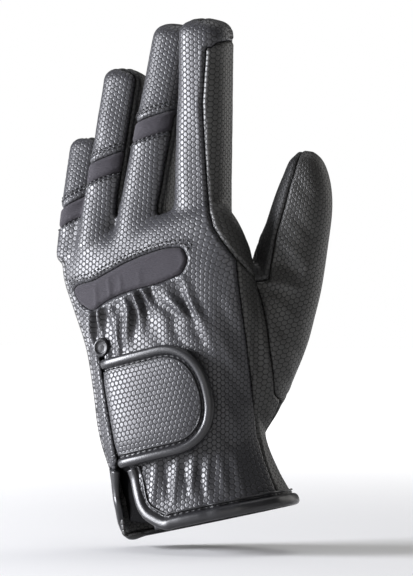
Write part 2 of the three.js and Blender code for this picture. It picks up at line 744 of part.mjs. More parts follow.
const strap_edge_shares = [0, 0.14, 0.28, 0.42, 0.56, 0.68, 0.79, 0.88, 0.95];
function strapBindingPoints() {
  const inset = strap_binding_diameter / 2;
  const end = 1 - inset / strap_length;
  const lift = (u) => strapRise(u) + strap_lift - root_lift + inset / 2;
  const edge = (sign) => strap_edge_shares.map((share) => {
    const u = share * end;
    return strapPoint(u, sign * strapHalf(u, inset), lift(u));
  });
  return [...edge(1), strapPoint(end, 0, lift(end)), ...edge(-1).reverse()];
}
const strap_steps = 36;
const strap_edge = tubeSolid(strapBindingPoints(), strap_binding_diameter, strap_steps, tube_sides);
group.add(meshOf('strap_binding', strap_edge, edging));

// The small stay at the head of the slit; its points are shares of its own diameter.
const stay_points = [[-1.13, -1.67], [-0.97, -0.33], [0, 0.53], [0.97, -0.2]];
const stay_line = stay_points.map(([side, up]) => {
  const [x, z] = slitMiddle(slit_last);
  const lift = stay_diameter / 2 + gather_depth + seam_gap;
  return backPoint(x + side * stay_diameter, z + (up + 1) * stay_diameter, lift);
});
const stay_steps = 8;
group.add(meshOf('slit_stay', tubeSolid(stay_line, stay_diameter, stay_steps, tube_sides), edging));

// The thin gusset that backs the slit inside.
const gusset_start = 0.9;
const gusset_end = slit_last - 0.15;
const gusset_share = 0.75;
function gussetSheet(depth) {
  return (u, v) => {
    const place = gusset_start + (gusset_end - gusset_start) * u;
    const half = gusset_share * slitHalf(place) + gusset_margin;
    return besideSlit(place, -(wall + gusset_clearance + depth), (2 * v - 1) * half);
  };
}
const gusset_grid = [9, 3];
const slit_gusset = plateSolid(...gusset_grid, gussetSheet(0), gussetSheet(gusset_thickness));
group.add(meshOf('slit_gusset', slit_gusset, dark_leather));

export default group;
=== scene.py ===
"""A left riding glove in worn shape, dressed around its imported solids.

The glove is modelled in millimetres and turned into metres where its meshes are made. +Z runs along the
fingers, -Y out of the back of the hand and +X towards the thumb, from the middle of the wrist opening.
"""
from __future__ import annotations

import logging
import math
from dataclasses import dataclass, field
from enum import Enum
from typing import Any

import bpy
import numpy as np
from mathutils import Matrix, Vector
from mathutils.bvhtree import BVHTree
from mathutils.kdtree import KDTree

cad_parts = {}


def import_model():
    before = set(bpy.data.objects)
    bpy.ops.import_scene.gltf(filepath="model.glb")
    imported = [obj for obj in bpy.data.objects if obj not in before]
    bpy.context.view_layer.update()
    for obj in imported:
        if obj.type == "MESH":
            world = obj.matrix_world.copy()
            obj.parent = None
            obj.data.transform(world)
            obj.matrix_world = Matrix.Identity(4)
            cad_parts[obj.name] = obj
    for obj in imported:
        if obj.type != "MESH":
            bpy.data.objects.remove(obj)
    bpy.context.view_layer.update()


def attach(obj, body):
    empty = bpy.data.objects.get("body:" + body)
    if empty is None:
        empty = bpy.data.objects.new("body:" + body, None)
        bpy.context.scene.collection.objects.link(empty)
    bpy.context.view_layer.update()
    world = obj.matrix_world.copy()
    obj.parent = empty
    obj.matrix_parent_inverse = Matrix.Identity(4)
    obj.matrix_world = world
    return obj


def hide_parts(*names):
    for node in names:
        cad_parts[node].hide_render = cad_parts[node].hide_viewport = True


log = logging.getLogger("riding_glove")
MM = 0.001
MAP_UNIT = 10
VIEW_ANGLE = 25.0
Array = np.ndarray
Pair = tuple[float, float]
Rows = tuple[tuple[float, ...], ...]
Triple = tuple[float, float, float]


class Table:
    """A short table with named columns, read between its rows along a smooth curve."""

    def __init__(self, names: str, *rows: tuple[float, ...]) -> None:
        """Keeps the rows.

        Args:
            names: the columns' names, apart by spaces.
            rows: the rows, one number for each column.
        """
        self.last = len(rows) - 1
        self.columns = dict(zip(names.split(), np.array(rows, float).T))

    def at(self, name: str, place: Array) -> Array:
        """The value of a column.

        Args:
            name: the column.
            place: where, counted in rows.

        Returns:
            The values there.
        """
        values = self.columns[name]
        where = np.clip(np.asarray(place, float), 0, self.last)
        i = np.minimum(where.astype(int), self.last - 1)
        t = where - i
        p = [values[np.clip(i + k, 0, self.last)] for k in (-1, 0, 1, 2)]
        bend = 2 * p[0] - 5 * p[1] + 4 * p[2] - p[3]
        twist = 3 * p[1] - p[0] - 3 * p[2] + p[3]
        return p[1] + 0.5 * t * (p[2] - p[0] + t * (bend + t * twist))


def unit(vectors: Array) -> Array:
    """The vectors at length one."""
    return vectors / np.maximum(np.linalg.norm(vectors, axis=-1, keepdims=True), 1e-12)


def ease(value: Array, low: float, high: float) -> Array:
    """A smooth step.

    Args:
        value: the values to test.
        low: where the step begins.
        high: where it ends; it may lie below low.

    Returns:
        Shares from 0 to 1.
    """
    t = np.clip((np.asarray(value, float) - low) / (high - low), 0, 1)
    return t * t * (3 - 2 * t)


def outline_distance(points: Array, outline: Array) -> Array:
    """Signed distance from flat points to a closed outline.

    Args:
        points: flat points, one a row.
        outline: the outline's corners, one a row.

    Returns:
        The distances, negative inside.
    """
    best = np.full(len(points), np.inf)
    inside = np.zeros(len(points), bool)
    for a, b in zip(outline, np.roll(outline, -1, 0)):
        edge = b - a
        t = np.clip(((points - a) @ edge) / (edge @ edge), 0, 1)
        best = np.minimum(best, np.linalg.norm(points - a - t[:, None] * edge, axis=1))
        crosses = (a[1] > points[:, 1]) != (b[1] > points[:, 1])
        with np.errstate(divide="ignore", invalid="ignore"):
            left = points[:, 0] < a[0] + (points[:, 1] - a[1]) / (b[1] - a[1]) * edge[0]
        inside ^= crosses & left
    return np.where(inside, -best, best)


def evenly(line: Array, count: int) -> Array:
    """The same line through this many evenly spaced points."""
    gone = np.concatenate([[0], np.cumsum(np.linalg.norm(np.diff(line, axis=0), axis=1))])
    at = np.linspace(0, gone[-1], count)
    return np.stack([np.interp(at, gone, values) for values in line.T], 1)


def seen(points: Array, deepest: float = 1e3) -> Array:
    """Where points lie across and up as the camera sees them, one a row.

    Args:
        points: the points, one a row.
        deepest: points nearer to the palm count as if they lay at this y.

    Returns:
        Places across and up, in millimetres.
    """
    turn = math.radians(VIEW_ANGLE)
    across = points[:, 0] * math.cos(turn) + np.minimum(points[:, 1], deepest) * math.sin(turn)
    return np.stack([across, points[:, 2]], 1)


class Shell:
    """A sheet of triangles in millimetres, which can be split, refined and pushed out."""

    def __init__(self, points: Array, faces: Array) -> None:
        """Keeps the points that the faces use.

        Args:
            points: the points, one a row.
            faces: the triangles' corners, one triangle a row.
        """
        used, back = np.unique(faces, return_inverse=True)
        self.points = np.asarray(points, float)[used]
        self.faces = back.reshape(-1, 3)

    def edges(self) -> tuple[Array, Array]:
        """The edges.

        Returns:
            The two ends of each edge, and the three edges of each face.
        """
        pairs = np.sort(np.stack([self.faces, np.roll(self.faces, -1, 1)], 2).reshape(-1, 2), 1)
        count = len(self.points)
        keys, back = np.unique(pairs[:, 0] * count + pairs[:, 1], return_inverse=True)
        return np.stack([keys // count, keys % count], 1), back.reshape(-1, 3)

    def normals(self) -> Array:
        """The outward direction at each point."""
        a, b, c = (self.points[self.faces[:, k]] for k in range(3))
        face = np.cross(b - a, c - a)
        total = np.zeros_like(self.points)
        for k in range(3):
            for axis in range(3):
                total[:, axis] += np.bincount(self.faces[:, k], face[:, axis], len(self.points))
        return unit(total)

    def smooth(self, rounds: int, share: float | Array = 0.5, keep: float = 0.0) -> None:
        """Evens the points out.

        Args:
            rounds: how many times.
            share: how far a point moves towards its neighbours' middle.
            keep: how much of each round is taken back, so that the form doesn't shrink.
        """
        ends, _ = self.edges()
        count = len(self.points)
        near = np.bincount(ends.ravel(), minlength=count)[:, None]
        step = np.broadcast_to(np.asarray(share, float), (count,))[:, None]
        for _ in range(rounds):
            for sign in ((1.0,) if keep == 0 else (1.0, -1.0 - keep)):
                total = np.stack([
                    np.bincount(ends[:, 0], self.points[ends[:, 1], axis], count)
                    + np.bincount(ends[:, 1], self.points[ends[:, 0], axis], count)
                    for axis in range(3)
                ], 1)
                self.points = self.points + sign * step * (total / near - self.points)

    def divide(self, marked: Array, share: Array) -> Shell:
        """A copy with a new point on each marked edge.

        Args:
            marked: whether an edge is split.
            share: where on the edge the new point lies.

        Returns:
            The new sheet, with the new points at the end, none dropped.
        """
        ends, of_face = self.edges()
        fresh = np.full(len(ends), -1)
        fresh[marked] = len(self.points) + np.arange(int(marked.sum()))
        a, b = self.points[ends[marked, 0]], self.points[ends[marked, 1]]
        points = np.concatenate([self.points, a + (b - a) * share[marked, None]])
        cut = fresh[of_face]
        count = (cut >= 0).sum(1)
        parts = [self.faces[count == 0]]
        for k in range(3):
            v = np.roll(self.faces, -k, 1)
            m = np.roll(cut, -k, 1)
            one = (count == 1) & (m[:, 0] >= 0)
            a, b, c, p = v[one, 0], v[one, 1], v[one, 2], m[one, 0]
            parts += [np.stack([a, p, c], 1), np.stack([p, b, c], 1)]
            two = (count == 2) & (m[:, 0] < 0)
            b, c, a, q, p = v[two, 0], v[two, 1], v[two, 2], m[two, 1], m[two, 2]
            parts += [np.stack([a, p, q], 1), np.stack([p, b, c], 1), np.stack([p, c, q], 1)]
        v, m = self.faces[count == 3], cut[count == 3]
        parts += [np.stack([v[:, k], m[:, k], m[:, k - 1]], 1) for k in range(3)] + [m]
        return Shell(points, np.concatenate(parts))

    def crossings(self, values: Array) -> tuple[Array, Array, Array]:
        """Where the edges cross the line on which the values are zero.

        Args:
            values: a value for each point.

        Returns:
            The edges' ends, whether each edge crosses the line, and at what share of it.
        """
        ends, _ = self.edges()
        low, high = values[ends[:, 0]], values[ends[:, 1]]
        crossing = low * high < 0
        return ends, crossing, np.where(crossing, low / np.where(crossing, low - high, 1), 0.5)

    def split(self, values: Array, snap: float = 0.22) -> tuple[Shell, Shell]:
        """Splits the sheet along the line where the values are zero.

        Args:
            values: a value for each point.
            snap: points closer to the line than this share of an edge move onto it.

        Returns:
            The part below zero and the part above.
        """
        values = np.array(values, float)
        ends, crossing, share = self.crossings(values)
        for end, close in ((0, crossing & (share < snap)), (1, crossing & (share > 1 - snap))):
            who = ends[close, end]
            a, b = self.points[ends[close, 0]], self.points[ends[close, 1]]
            self.points[who] = a + (b - a) * share[close, None]
            values[who] = 0
        _, crossing, share = self.crossings(values)
        whole = self.divide(crossing, share)
        signs = np.concatenate([np.sign(values), np.zeros(int(crossing.sum()))])
        side = signs[whole.faces].sum(1)
        return Shell(whole.points, whole.faces[side <= 0]), Shell(whole.points, whole.faces[side > 0])

    def scored(self, values: Array, clear: float = 0.12) -> Shell:
        """A copy with points along the line where the values are zero, none close to an edge's end."""
        _, crossing, share = self.crossings(values)
        return self.divide(crossing & (share > clear) & (share < 1 - clear), share)

    def refined(self, chosen: Array) -> Shell:
        """A copy with the edges between chosen points split in the middle."""
        ends, _ = self.edges()
        marked = chosen[ends].all(1)
        return self.divide(marked, np.full(len(ends), 0.5))

    def rim(self) -> Array:
        """The edges that belong to one face only, as rows of two points in the face's own order."""
        pairs = np.stack([self.faces, np.roll(self.faces, -1, 1)], 2).reshape(-1, 2)
        _, of_face = self.edges()
        count = np.bincount(of_face.ravel())
        return pairs[count[of_face.ravel()] == 1]

    def rim_distance(self) -> Array:
        """Each point's distance to the sheet's rim."""
        marks = self.points[np.unique(self.rim())]
        tree = KDTree(len(marks))
        for i, mark in enumerate(marks):
            tree.insert(mark, i)
        tree.balance()
        return np.array([tree.find(p)[2] for p in self.points])

    def largest(self) -> Shell:
        """A copy with only the largest connected part."""
        ends, of_face = self.edges()
        label = np.arange(len(self.points))
        while True:
            low = np.minimum(label[ends[:, 0]], label[ends[:, 1]])
            fresh = label.copy()
            np.minimum.at(fresh, ends[:, 0], low)
            np.minimum.at(fresh, ends[:, 1], low)
            fresh = fresh[fresh]
            if (fresh == label).all():
                break
            label = fresh
        kind = label[self.faces[:, 0]]
        return Shell(self.points, self.faces[kind == np.bincount(kind).argmax()])


def sheet(grid: Array, out: Array) -> Shell:
    """A sheet over a grid of points, turned to face a given way.

    Args:
        grid: the points, as rows by columns by three.
        out: the way it faces, one for all points or one for each.

    Returns:
        The sheet.
    """
    rows, count = grid.shape[:2]
    i, j = np.meshgrid(np.arange(rows - 1), np.arange(count - 1), indexing="ij")
    a = (i * count + j).ravel()
    b, c, d = a + count, a + count + 1, a + 1
    shell = Shell(grid.reshape(-1, 3), np.concatenate([np.stack([a, b, c], 1), np.stack([a, c, d], 1)]))
    if (shell.normals() * out).sum() < 0:
        shell.faces = shell.faces[:, ::-1]
    return shell


def loft(rings: Array, closed: bool = True) -> tuple[Array, Array]:
    """A closed solid through rings of points.

    Args:
        rings: the points, ring by ring.
        closed: whether the two ends get a fan.

    Returns:
        Points and triangles.
    """
    rows, count = rings.shape[:2]
    i, j = np.meshgrid(np.arange(rows - 1), np.arange(count), indexing="ij")
    a, b = i * count + j, i * count + (j + 1) % count
    corners = (a, b, b + count), (a, b + count, a + count)
    faces = [np.stack(three, -1).reshape(-1, 3) for three in corners]
    points = rings.reshape(-1, 3)
    if closed:
        k = np.arange(count)
        first = len(points)
        points = np.concatenate([points, rings[:1].mean(1), rings[-1:].mean(1)])
        top = (rows - 1) * count
        faces.append(np.stack([np.full(count, first), (k + 1) % count, k], 1))
        faces.append(np.stack([np.full(count, first + 1), top + k, top + (k + 1) % count], 1))
    return points, np.concatenate(faces)


@dataclass
class Section:
    """Sections across a part of the glove, one a row: middles, axes, half sizes and squareness."""

    middle: Array
    across: Array
    through: Array
    half_breadth: Array
    half_depth: Array
    square: Array

    def ring(self, share: Array, side: Array) -> Array:
        """Points round each section.

        Args:
            share: places across, from -1 to 1.
            side: -1 on the back of the hand and 1 on the palm side.

        Returns:
            An array of sections by spots by three.
        """
        power = np.atleast_1d(self.square)[:, None]
        rest = np.maximum(1 - np.abs(share)[None] ** power, 0) ** (1 / power)
        wide = (share[None] * self.half_breadth[:, None])[..., None] * self.across[:, None]
        deep = (side[None] * rest * self.half_depth[:, None])[..., None] * self.through[:, None]
        return self.middle[:, None] + wide + deep


def round_spots(count: int, square: float) -> tuple[Array, Array]:
    """Spots at even angles round a section, as shares across and sides."""
    angle = 2 * np.pi * (np.arange(count) + 0.5) / count
    share = -np.sign(np.cos(angle)) * np.abs(np.cos(angle)) ** (2 / square)
    return share, np.where(angle < np.pi, -1.0, 1.0)


@dataclass
class FingerForm:
    """One finger: its place on the palm, its lean and curl, its sizes and its stretch band."""

    name: str
    length: float
    breadth: float
    side: float
    up: float
    back: float
    lean: float
    curl: float
    taper: float
    sink: float
    flare: float
    band: float = 0.0
    band_slope: float = 0.0
    root: Array = field(init=False)
    along: Array = field(init=False)
    across: Array = field(init=False)

    depth_ratio = 0.96
    square = 2.6
    flare_reach = 34.0
    dome_share = 0.36
    dome_square = 2.5

    def place(self, breadth: float, depth: float, length: float) -> None:
        """Sets the finger on a palm of these sizes."""
        lean, curl = math.radians(self.lean), math.radians(self.curl)
        self.root = np.array([self.side * breadth, self.back * depth, self.up * length])
        self.along = unit(np.array([math.sin(lean), math.sin(curl), math.cos(lean)]))
        self.across = np.array([math.cos(lean), 0, -math.sin(lean)])

    def solid(self, spots: int = 56) -> tuple[Array, Array]:
        """The finger as a closed solid: points and triangles."""
        dome = self.dome_share * self.breadth
        body = np.linspace(-self.sink, self.length - dome, 40)
        v = np.concatenate([body, self.length - dome + dome * np.sin(np.linspace(0, np.pi / 2, 14))[1:-1]])
        v = np.append(v, self.length - 0.02)
        flare = self.flare * np.maximum(0, 1 - (v + self.sink) / self.flare_reach) ** 2
        size = 1 + (self.taper - 1) * np.maximum(v, 0) / self.length + flare
        t = np.clip((v - self.length + dome) / dome, 0, 1)
        half = 0.5 * self.breadth * size * (1 - t ** self.dome_square) ** (1 / self.dome_square)
        count = len(v)
        section = Section(
            self.root + v[:, None] * self.along, np.tile(self.across, (count, 1)),
            np.tile(unit(np.cross(self.along, self.across)), (count, 1)),
            half, half * self.depth_ratio, np.full(count, self.square),
        )
        return loft(section.ring(*round_spots(spots, self.square)))

    def flat_place(self, x: Array, z: Array) -> tuple[Array, Array]:
        """Where points lie on the finger as seen from the back.

        Args:
            x: places across the glove.
            z: heights.

        Returns:
            Places across and along the finger.
        """
        grid = np.array([[self.across[0], self.along[0]], [self.across[2], self.along[2]]])
        return tuple(np.linalg.inv(grid) @ np.stack([x - self.root[0], z - self.root[2]]))

    def over_band(self, x: Array, z: Array) -> Array:
        """How far along the finger points lie beyond the middle of its stretch band."""
        across, along = self.flat_place(x, z)
        return along - across * math.tan(math.radians(self.band_slope)) - self.band * self.length


HAND_SECTIONS = Table(
    "up side breadth depth tilt yaw square cuff",
    (0.0, 0.012, 1.0, 1.0, 1.0, 0, 2.3, 1),
    (0.095, -0.045, 0.94, 0.905, 1.0, 0, 2.3, 1),
    (0.205, -0.101, 0.905, 0.83, 1.03, 0, 2.35, 1),
    (0.35, -0.142, 0.86, 1.17, 1.03, 1, 2.4, 0),
    (0.485, -0.157, 0.905, 1.12, 1.03, 3, 2.45, 0),
    (0.62, -0.18, 0.955, 1.05, 1.03, 5, 2.5, 0),
    (0.75, -0.235, 1.015, 0.95, 1.06, 7, 2.5, 0),
    (0.86, -0.295, 1.03, 0.84, 1.1, 8, 2.6, 0),
    (0.925, -0.33, 0.99, 0.68, 1.15, 9, 2.6, 0),
    (0.96, -0.34, 0.88, 0.42, 1.25, 9, 2.5, 0),
)
THUMB_SECTIONS = Table(
    "up side back breadth depth",
    (-0.03, 0.098, 0.17, 0.66, 0.72),
    (0.06, 0.114, 0.2, 0.84, 0.9),
    (0.2, 0.16, 0.26, 0.95, 1.04),
    (0.36, 0.215, 0.34, 0.97, 1.05),
    (0.52, 0.27, 0.4, 0.86, 0.93),
    (0.66, 0.305, 0.42, 0.76, 0.84),
    (0.78, 0.335, 0.42, 0.69, 0.76),
    (0.88, 0.352, 0.41, 0.56, 0.66),
    (0.96, 0.356, 0.4, 0.38, 0.48),
    (0.995, 0.355, 0.4, 0.13, 0.2),
)
CRESCENT_EDGES = Table(
    "along low high",
    (0.0, -0.02, 0.06),
    (0.03, -0.26, 0.15),
    (0.09, -0.45, 0.22),
    (0.2, -0.57, 0.31),
    (0.34, -0.27, 0.56),
    (0.53, 0.0, 0.9),
    (0.75, 0.2, 1.18),
    (0.88, 0.38, 1.26),
    (0.96, 0.53, 1.23),
    (1.0, 0.85, 0.96),
)
SLIT_STATIONS = Table(
    "up side open",
    (-0.22, -0.335, 1.0),
    (0.0, -0.35, 1.0),
    (0.16, -0.395, 0.9),
    (0.3, -0.415, 0.6),
    (0.42, -0.448, 0.08),
    (0.97, -0.578, 0.08),
)


SIDE_SEAM = np.array([
    (40, -20), (36.0, -4), (33.4, 6.6), (30.6, 13.2), (28.2, 18.9), (24.9, 27.7), (22.9, 34.8), (22.0, 37.4),
    (20.5, 51.0), (19.1, 64.2), (17.2, 79.2), (15.4, 91.5), (13.6, 104.7), (12.8, 114.4), (6.2, 122.8),
    (2.6, 128.5), (1.0, 135.0), (0.2, 144.0), (-0.4, 151.8), (-1.3, 165.4), (-2.2, 182.2), (-0.4, 207.7),
])
THUMB_SEAM = np.array([
    (19.8, 180), (19.8, 116), (21.0, 106.5), (23.6, 97.9), (25.8, 86.5), (27.2, 76.0), (29.2, 63.0),
    (30.0, 52.0), (29.6, 44.0), (27.2, 38.6), (34, 34), (110, 34), (110, 180),
])
THUMB_RIDGE = np.array([
    (0, 180), (37.5, 180), (37.4, 158), (36.5, 152), (35.2, 147.4), (33.4, 138.6), (29.9, 125.4), (27.6, 112),
    (26.8, 105.9), (22, 105.0), (0, 105),
])


def glove_fingers() -> tuple[FingerForm, ...]:
    """The four fingers, from the index to the little one."""
    return (
        FingerForm("index", 86, 23, -0.016, 0.985, -0.03, 2.5, -3, 0.96, 15, 0.14),
        FingerForm("middle", 86, 21.8, -0.333, 0.99, 0.03, 7.9, 8, 0.97, 15, 0.08, 0.465, 23),
        FingerForm("ring", 70, 19.8, -0.573, 0.965, 0.11, 6.4, 8, 0.97, 14, 0.06, 0.36, 24),
        FingerForm("little", 51, 17.6, -0.735, 0.885, 0.2, 0, 16, 0.95, 7, 0, 0.34, 25),
    )


@dataclass
class GloveForm:
    """The whole glove's form: the hand, its fingers and its thumb, and the places of the seams."""

    palm_length: float = 136
    palm_breadth: float = 92
    palm_depth: float = 35
    cuff_breadth: float = 80
    cuff_depth: float = 52
    cuff_tilt: float = 12.6
    thumb_length: float = 118
    thumb_breadth: float = 39
    thumb_depth: float = 31
    thumb_heel: Pair = (0.325, -0.005)
    thumb_square: float = 2.2
    slit_width: float = 2.4
    slit_mouth: float = 15
    slit_length: float = 74
    voxel: float = 0.85
    skirt: float = 8
    skin_rounds: int = 6
    join_rounds: int = 26
    halvings: int = 26
    widest_share: float = 0.985
    flank_lift: float = 0.34
    tip_lift: float = 0.55
    corner_size: float = 6.0
    sounding: float = 6.4
    fingers: tuple[FingerForm, ...] = field(default_factory=glove_fingers)

    def __post_init__(self) -> None:
        """Sets the fingers on the palm."""
        for finger in self.fingers:
            finger.place(self.palm_breadth, self.palm_depth, self.palm_length)

    def hand_section(self, place: Array) -> Section:
        """The hand's sections at places counted in rows of the table."""
        place = np.atleast_1d(np.asarray(place, float))
        get = HAND_SECTIONS.at
        cuff = np.clip(get("cuff", place), 0, 1)
        tilt = np.radians(get("tilt", place) * self.cuff_tilt)
        yaw = np.radians(get("yaw", place))
        zero = np.zeros_like(place)
        return Section(
            np.stack([get("side", place) * self.palm_breadth, zero, get("up", place) * self.palm_length], 1),
            unit(np.stack([np.cos(tilt) * np.cos(yaw), -np.sin(yaw), np.sin(tilt)], 1)),
            np.tile([0.0, 1.0, 0.0], (len(place), 1)),
            get("breadth", place) * (cuff * self.cuff_breadth + (1 - cuff) * self.palm_breadth) / 2,
            get("depth", place) * (cuff * self.cuff_depth + (1 - cuff) * self.palm_depth) / 2,
            get("square", place),
        )

    def thumb_section(self, place: Array) -> Section:
        """The thumb's sections at places counted in rows of the table."""
        get = THUMB_SECTIONS.at

        def middle(at: Array) -> Array:
            """The middles of the sections at these places."""
            heel = [self.thumb_heel[1] * self.palm_breadth, 0, self.thumb_heel[0] * self.palm_length]
            return np.array(heel) + np.stack([
                get("side", at) * self.thumb_length, get("back", at) * self.palm_depth,
                get("up", at) * self.thumb_length], 1)

        along = unit(middle(place + 0.05) - middle(place - 0.05))
        across = unit(np.stack([along[:, 2], 0 * place, -along[:, 0]], 1))
        return Section(
            middle(place), across, unit(np.cross(along, across)),
            get("breadth", place) * self.thumb_breadth / 2,
            get("depth", place) * self.thumb_depth / 2,
            np.full(len(place), self.thumb_square),
        )

    def skin(self) -> Shell:
        """The glove's whole outer skin, rounded where its parts join, closed at the wrist."""
        rows = np.linspace(0, HAND_SECTIONS.last, 90)
        share, side = round_spots(120, 2.4)
        rings = self.hand_section(rows).ring(share, side)
        below = rings[:1] + self.skirt * self.cuff_down()
        solids = [loft(np.concatenate([below, rings]))]
        thumb = self.thumb_section(np.linspace(0, THUMB_SECTIONS.last, 60))
        solids.append(loft(thumb.ring(*round_spots(72, self.thumb_square))))
        solids += [finger.solid() for finger in self.fingers]
        points, faces, count = [], [], 0
        for p, f in solids:
            points.append(p)
            faces.append(f + count)
            count += len(p)
        mesh = mesh_from("skin", np.concatenate(points), np.concatenate(faces))
        body = bpy.data.objects.new("skin", mesh)
        bpy.context.scene.collection.objects.link(body)
        remesh = body.modifiers.new("remesh", "REMESH")
        remesh.mode, remesh.voxel_size, remesh.adaptivity = "VOXEL", self.voxel * MM, 0
        whole = shell_from(body)
        bpy.data.objects.remove(body)
        whole.smooth(self.skin_rounds, 0.5, keep=0.04)
        self.soften_joins(whole)
        return whole

    def soften_joins(self, whole: Shell) -> None:
        """Rounds the places where fingers and thumb leave the hand."""
        x, z = whole.points[:, 0], whole.points[:, 2]
        joins = np.zeros(len(x))
        for finger in self.fingers:
            u, v = finger.flat_place(x, z)
            across = ease(np.abs(u), 0.9 * finger.breadth, 0.6 * finger.breadth)
            joins = np.maximum(joins, ease(np.abs(v + 4), 20, 6) * across)
        thumb = ease(x, 4, 16) * ease(z, 46, 62) * ease(z, 122, 108)
        whole.smooth(self.join_rounds, 0.5 * np.maximum(joins, thumb))

    def cuff_down(self) -> Array:
        """The direction out of the wrist opening."""
        across = self.hand_section(0).across[0]
        return np.array([across[2], 0, -across[0]])

    def back_point(self, x: Array, z: Array, lift: Array | float = 0.0) -> Array:
        """Points on the back of the hand.

        Args:
            x: places across.
            z: heights.
            lift: how far above the back they lie.

        Returns:
            The points, one a row.
        """
        x, z = np.broadcast_arrays(np.atleast_1d(np.asarray(x, float)), np.asarray(z, float))
        low, high = np.zeros(x.shape), np.full(x.shape, float(HAND_SECTIONS.last))
        for _ in range(self.halvings):
            mid = (low + high) / 2
            section = self.hand_section(mid)
            rise = (x - section.middle[:, 0]) * section.across[:, 2] / section.across[:, 0]
            above = z - section.middle[:, 2] - rise > 0
            low, high = np.where(above, mid, low), np.where(above, high, mid)
        section = self.hand_section((low + high) / 2)
        half = section.half_breadth + lift
        share = (x - section.middle[:, 0]) / (section.across[:, 0] * half)
        share = np.clip(share, -self.widest_share, self.widest_share)
        rest = (1 - np.abs(share) ** section.square) ** (1 / section.square)
        point = section.middle + (share * half)[:, None] * section.across
        point[:, 1] -= rest * (section.half_depth + lift)
        return point

    def outward(self, x: Array, z: Array, lift: float = 0.0) -> Array:
        """The way out of the back of the hand, from a point in its wall to one at a lift above it."""
        return self.back_point(x, z, lift) - self.back_point(x, z, -self.sounding)

    def seam_height(self, x: Array, z: Array, fingers: float, palm: float) -> Array:
        """How far towards the palm a seam lies.

        Args:
            x: places across.
            z: heights.
            fingers: the seam's place on the fingers, as a share of their half depth.
            palm: its place on the hand, as a share of its half depth.

        Returns:
            The seam's y at each place.
        """
        spots = []
        for finger in self.fingers:
            centre = finger.root[:, None] + finger.along[:, None] * (z - finger.root[2]) / finger.along[2]
            half = finger.breadth / 2
            turn = np.where(fingers < 0, self.flank_lift * ease(centre[0] - x, -0.3 * half, 0.6 * half), 0)
            if finger.name == "middle" and fingers < 0:
                turn = np.maximum(turn, self.tip_lift * ease(finger.over_band(x, z), 1.5, 8))
            spots.append((centre[0], centre[1] + (fingers + turn) * half * finger.depth_ratio))
        on_fingers = spots[0][1].copy()
        for (x0, y0), (x1, y1) in zip(spots, spots[1:]):
            t = ease((x - x0) / (x1 - x0), 0.4, 0.6)
            on_fingers = np.where(x < x0, y0 + (y1 - y0) * t, on_fingers)
        section = self.hand_section(np.clip(z / self.palm_length, 0, 1) * HAND_SECTIONS.last)
        slope = section.across[:, 1] / section.across[:, 0]
        on_palm = (x - section.middle[:, 0]) * slope + palm * section.half_depth
        return on_palm + (on_fingers - on_palm) * ease(z / self.palm_length, 0.8, 1.0)

    def slit_line(self, place: Array) -> tuple[Array, Array, Array]:
        """The slit's middle x, z and half width at places counted in rows of the table."""
        get = SLIT_STATIONS.at
        wide = self.slit_width + (self.slit_mouth - self.slit_width) * np.maximum(get("open", place), 0)
        return get("side", place) * self.cuff_breadth, get("up", place) * self.slit_length, wide / 2

    def corner(self, z: Array) -> Array:
        """How far the back's corner beside the slit is rounded away at a height."""
        return self.corner_size * ease(z, self.corner_size * 1.5, -2.5) ** 2

    def beside_slit(self, place: Array, out: Array | float, shift: Array | float) -> Array:
        """Points beside the slit's middle.

        Args:
            place: places along the slit, counted in rows of the table.
            out: how far above the back.
            shift: how far to the thumb's side of the middle.

        Returns:
            The points, one a row.
        """
        x, z, _ = self.slit_line(np.atleast_1d(place))
        outward = self.outward(x, z)
        outward[:, 2] = 0
        outward = unit(outward)
        return self.back_point(x - shift * outward[:, 1], z, out)


def mesh_from(name: str, points: Array, faces: Array) -> bpy.types.Mesh:
    """A mesh in metres from points in millimetres and triangles."""
    mesh = bpy.data.meshes.new(name)
    mesh.vertices.add(len(points))
    mesh.vertices.foreach_set("co", (np.asarray(points, float) * MM).astype(np.float32).ravel())
    mesh.loops.add(len(faces) * 3)
    mesh.loops.foreach_set("vertex_index", np.asarray(faces, np.int32).ravel())
    mesh.polygons.add(len(faces))
    mesh.polygons.foreach_set("loop_start", np.arange(0, 3 * len(faces), 3, dtype=np.int32))
    mesh.update(calc_edges=True)
    mesh.validate()
    return mesh


def shell_from(body: bpy.types.Object) -> Shell:
    """The object's finished mesh as a sheet of triangles in millimetres."""
    done = body.evaluated_get(bpy.context.evaluated_depsgraph_get())
    mesh = done.to_mesh()
    mesh.calc_loop_triangles()
    points = np.empty(len(mesh.vertices) * 3, np.float32)
    mesh.vertices.foreach_get("co", points)
    faces = np.empty(len(mesh.loop_triangles) * 3, np.int32)
    mesh.loop_triangles.foreach_get("vertices", faces)
    done.to_mesh_clear()
    return Shell(points.reshape(-1, 3) / MM, faces.reshape(-1, 3))


def solid_from(name: str, shell: Shell, depth: float, pattern: Array | None = None) -> bpy.types.Object:
    """A closed body from a sheet: the sheet itself, a copy inside it, and walls along the rim.

    Args:
        name: the body's name.
        shell: the sheet.
        depth: the wall's thickness.
        pattern: flat coordinates of the sheet's points, in millimetres, for the pattern of the finish.

    Returns:
        The object, linked to the scene.
    """
    count = len(shell.points)
    inner = shell.points - depth * shell.normals()
    a, b = shell.rim().T
    walls = [np.stack([b, a, a + count], 1), np.stack([b, a + count, b + count], 1)]
    faces = np.concatenate([shell.faces, shell.faces[:, ::-1] + count, *walls])
    mesh = mesh_from(name, np.concatenate([shell.points, inner]), faces)
    if pattern is not None:
        lay_pattern(mesh, np.concatenate([pattern, pattern]))
    return link(name, mesh)


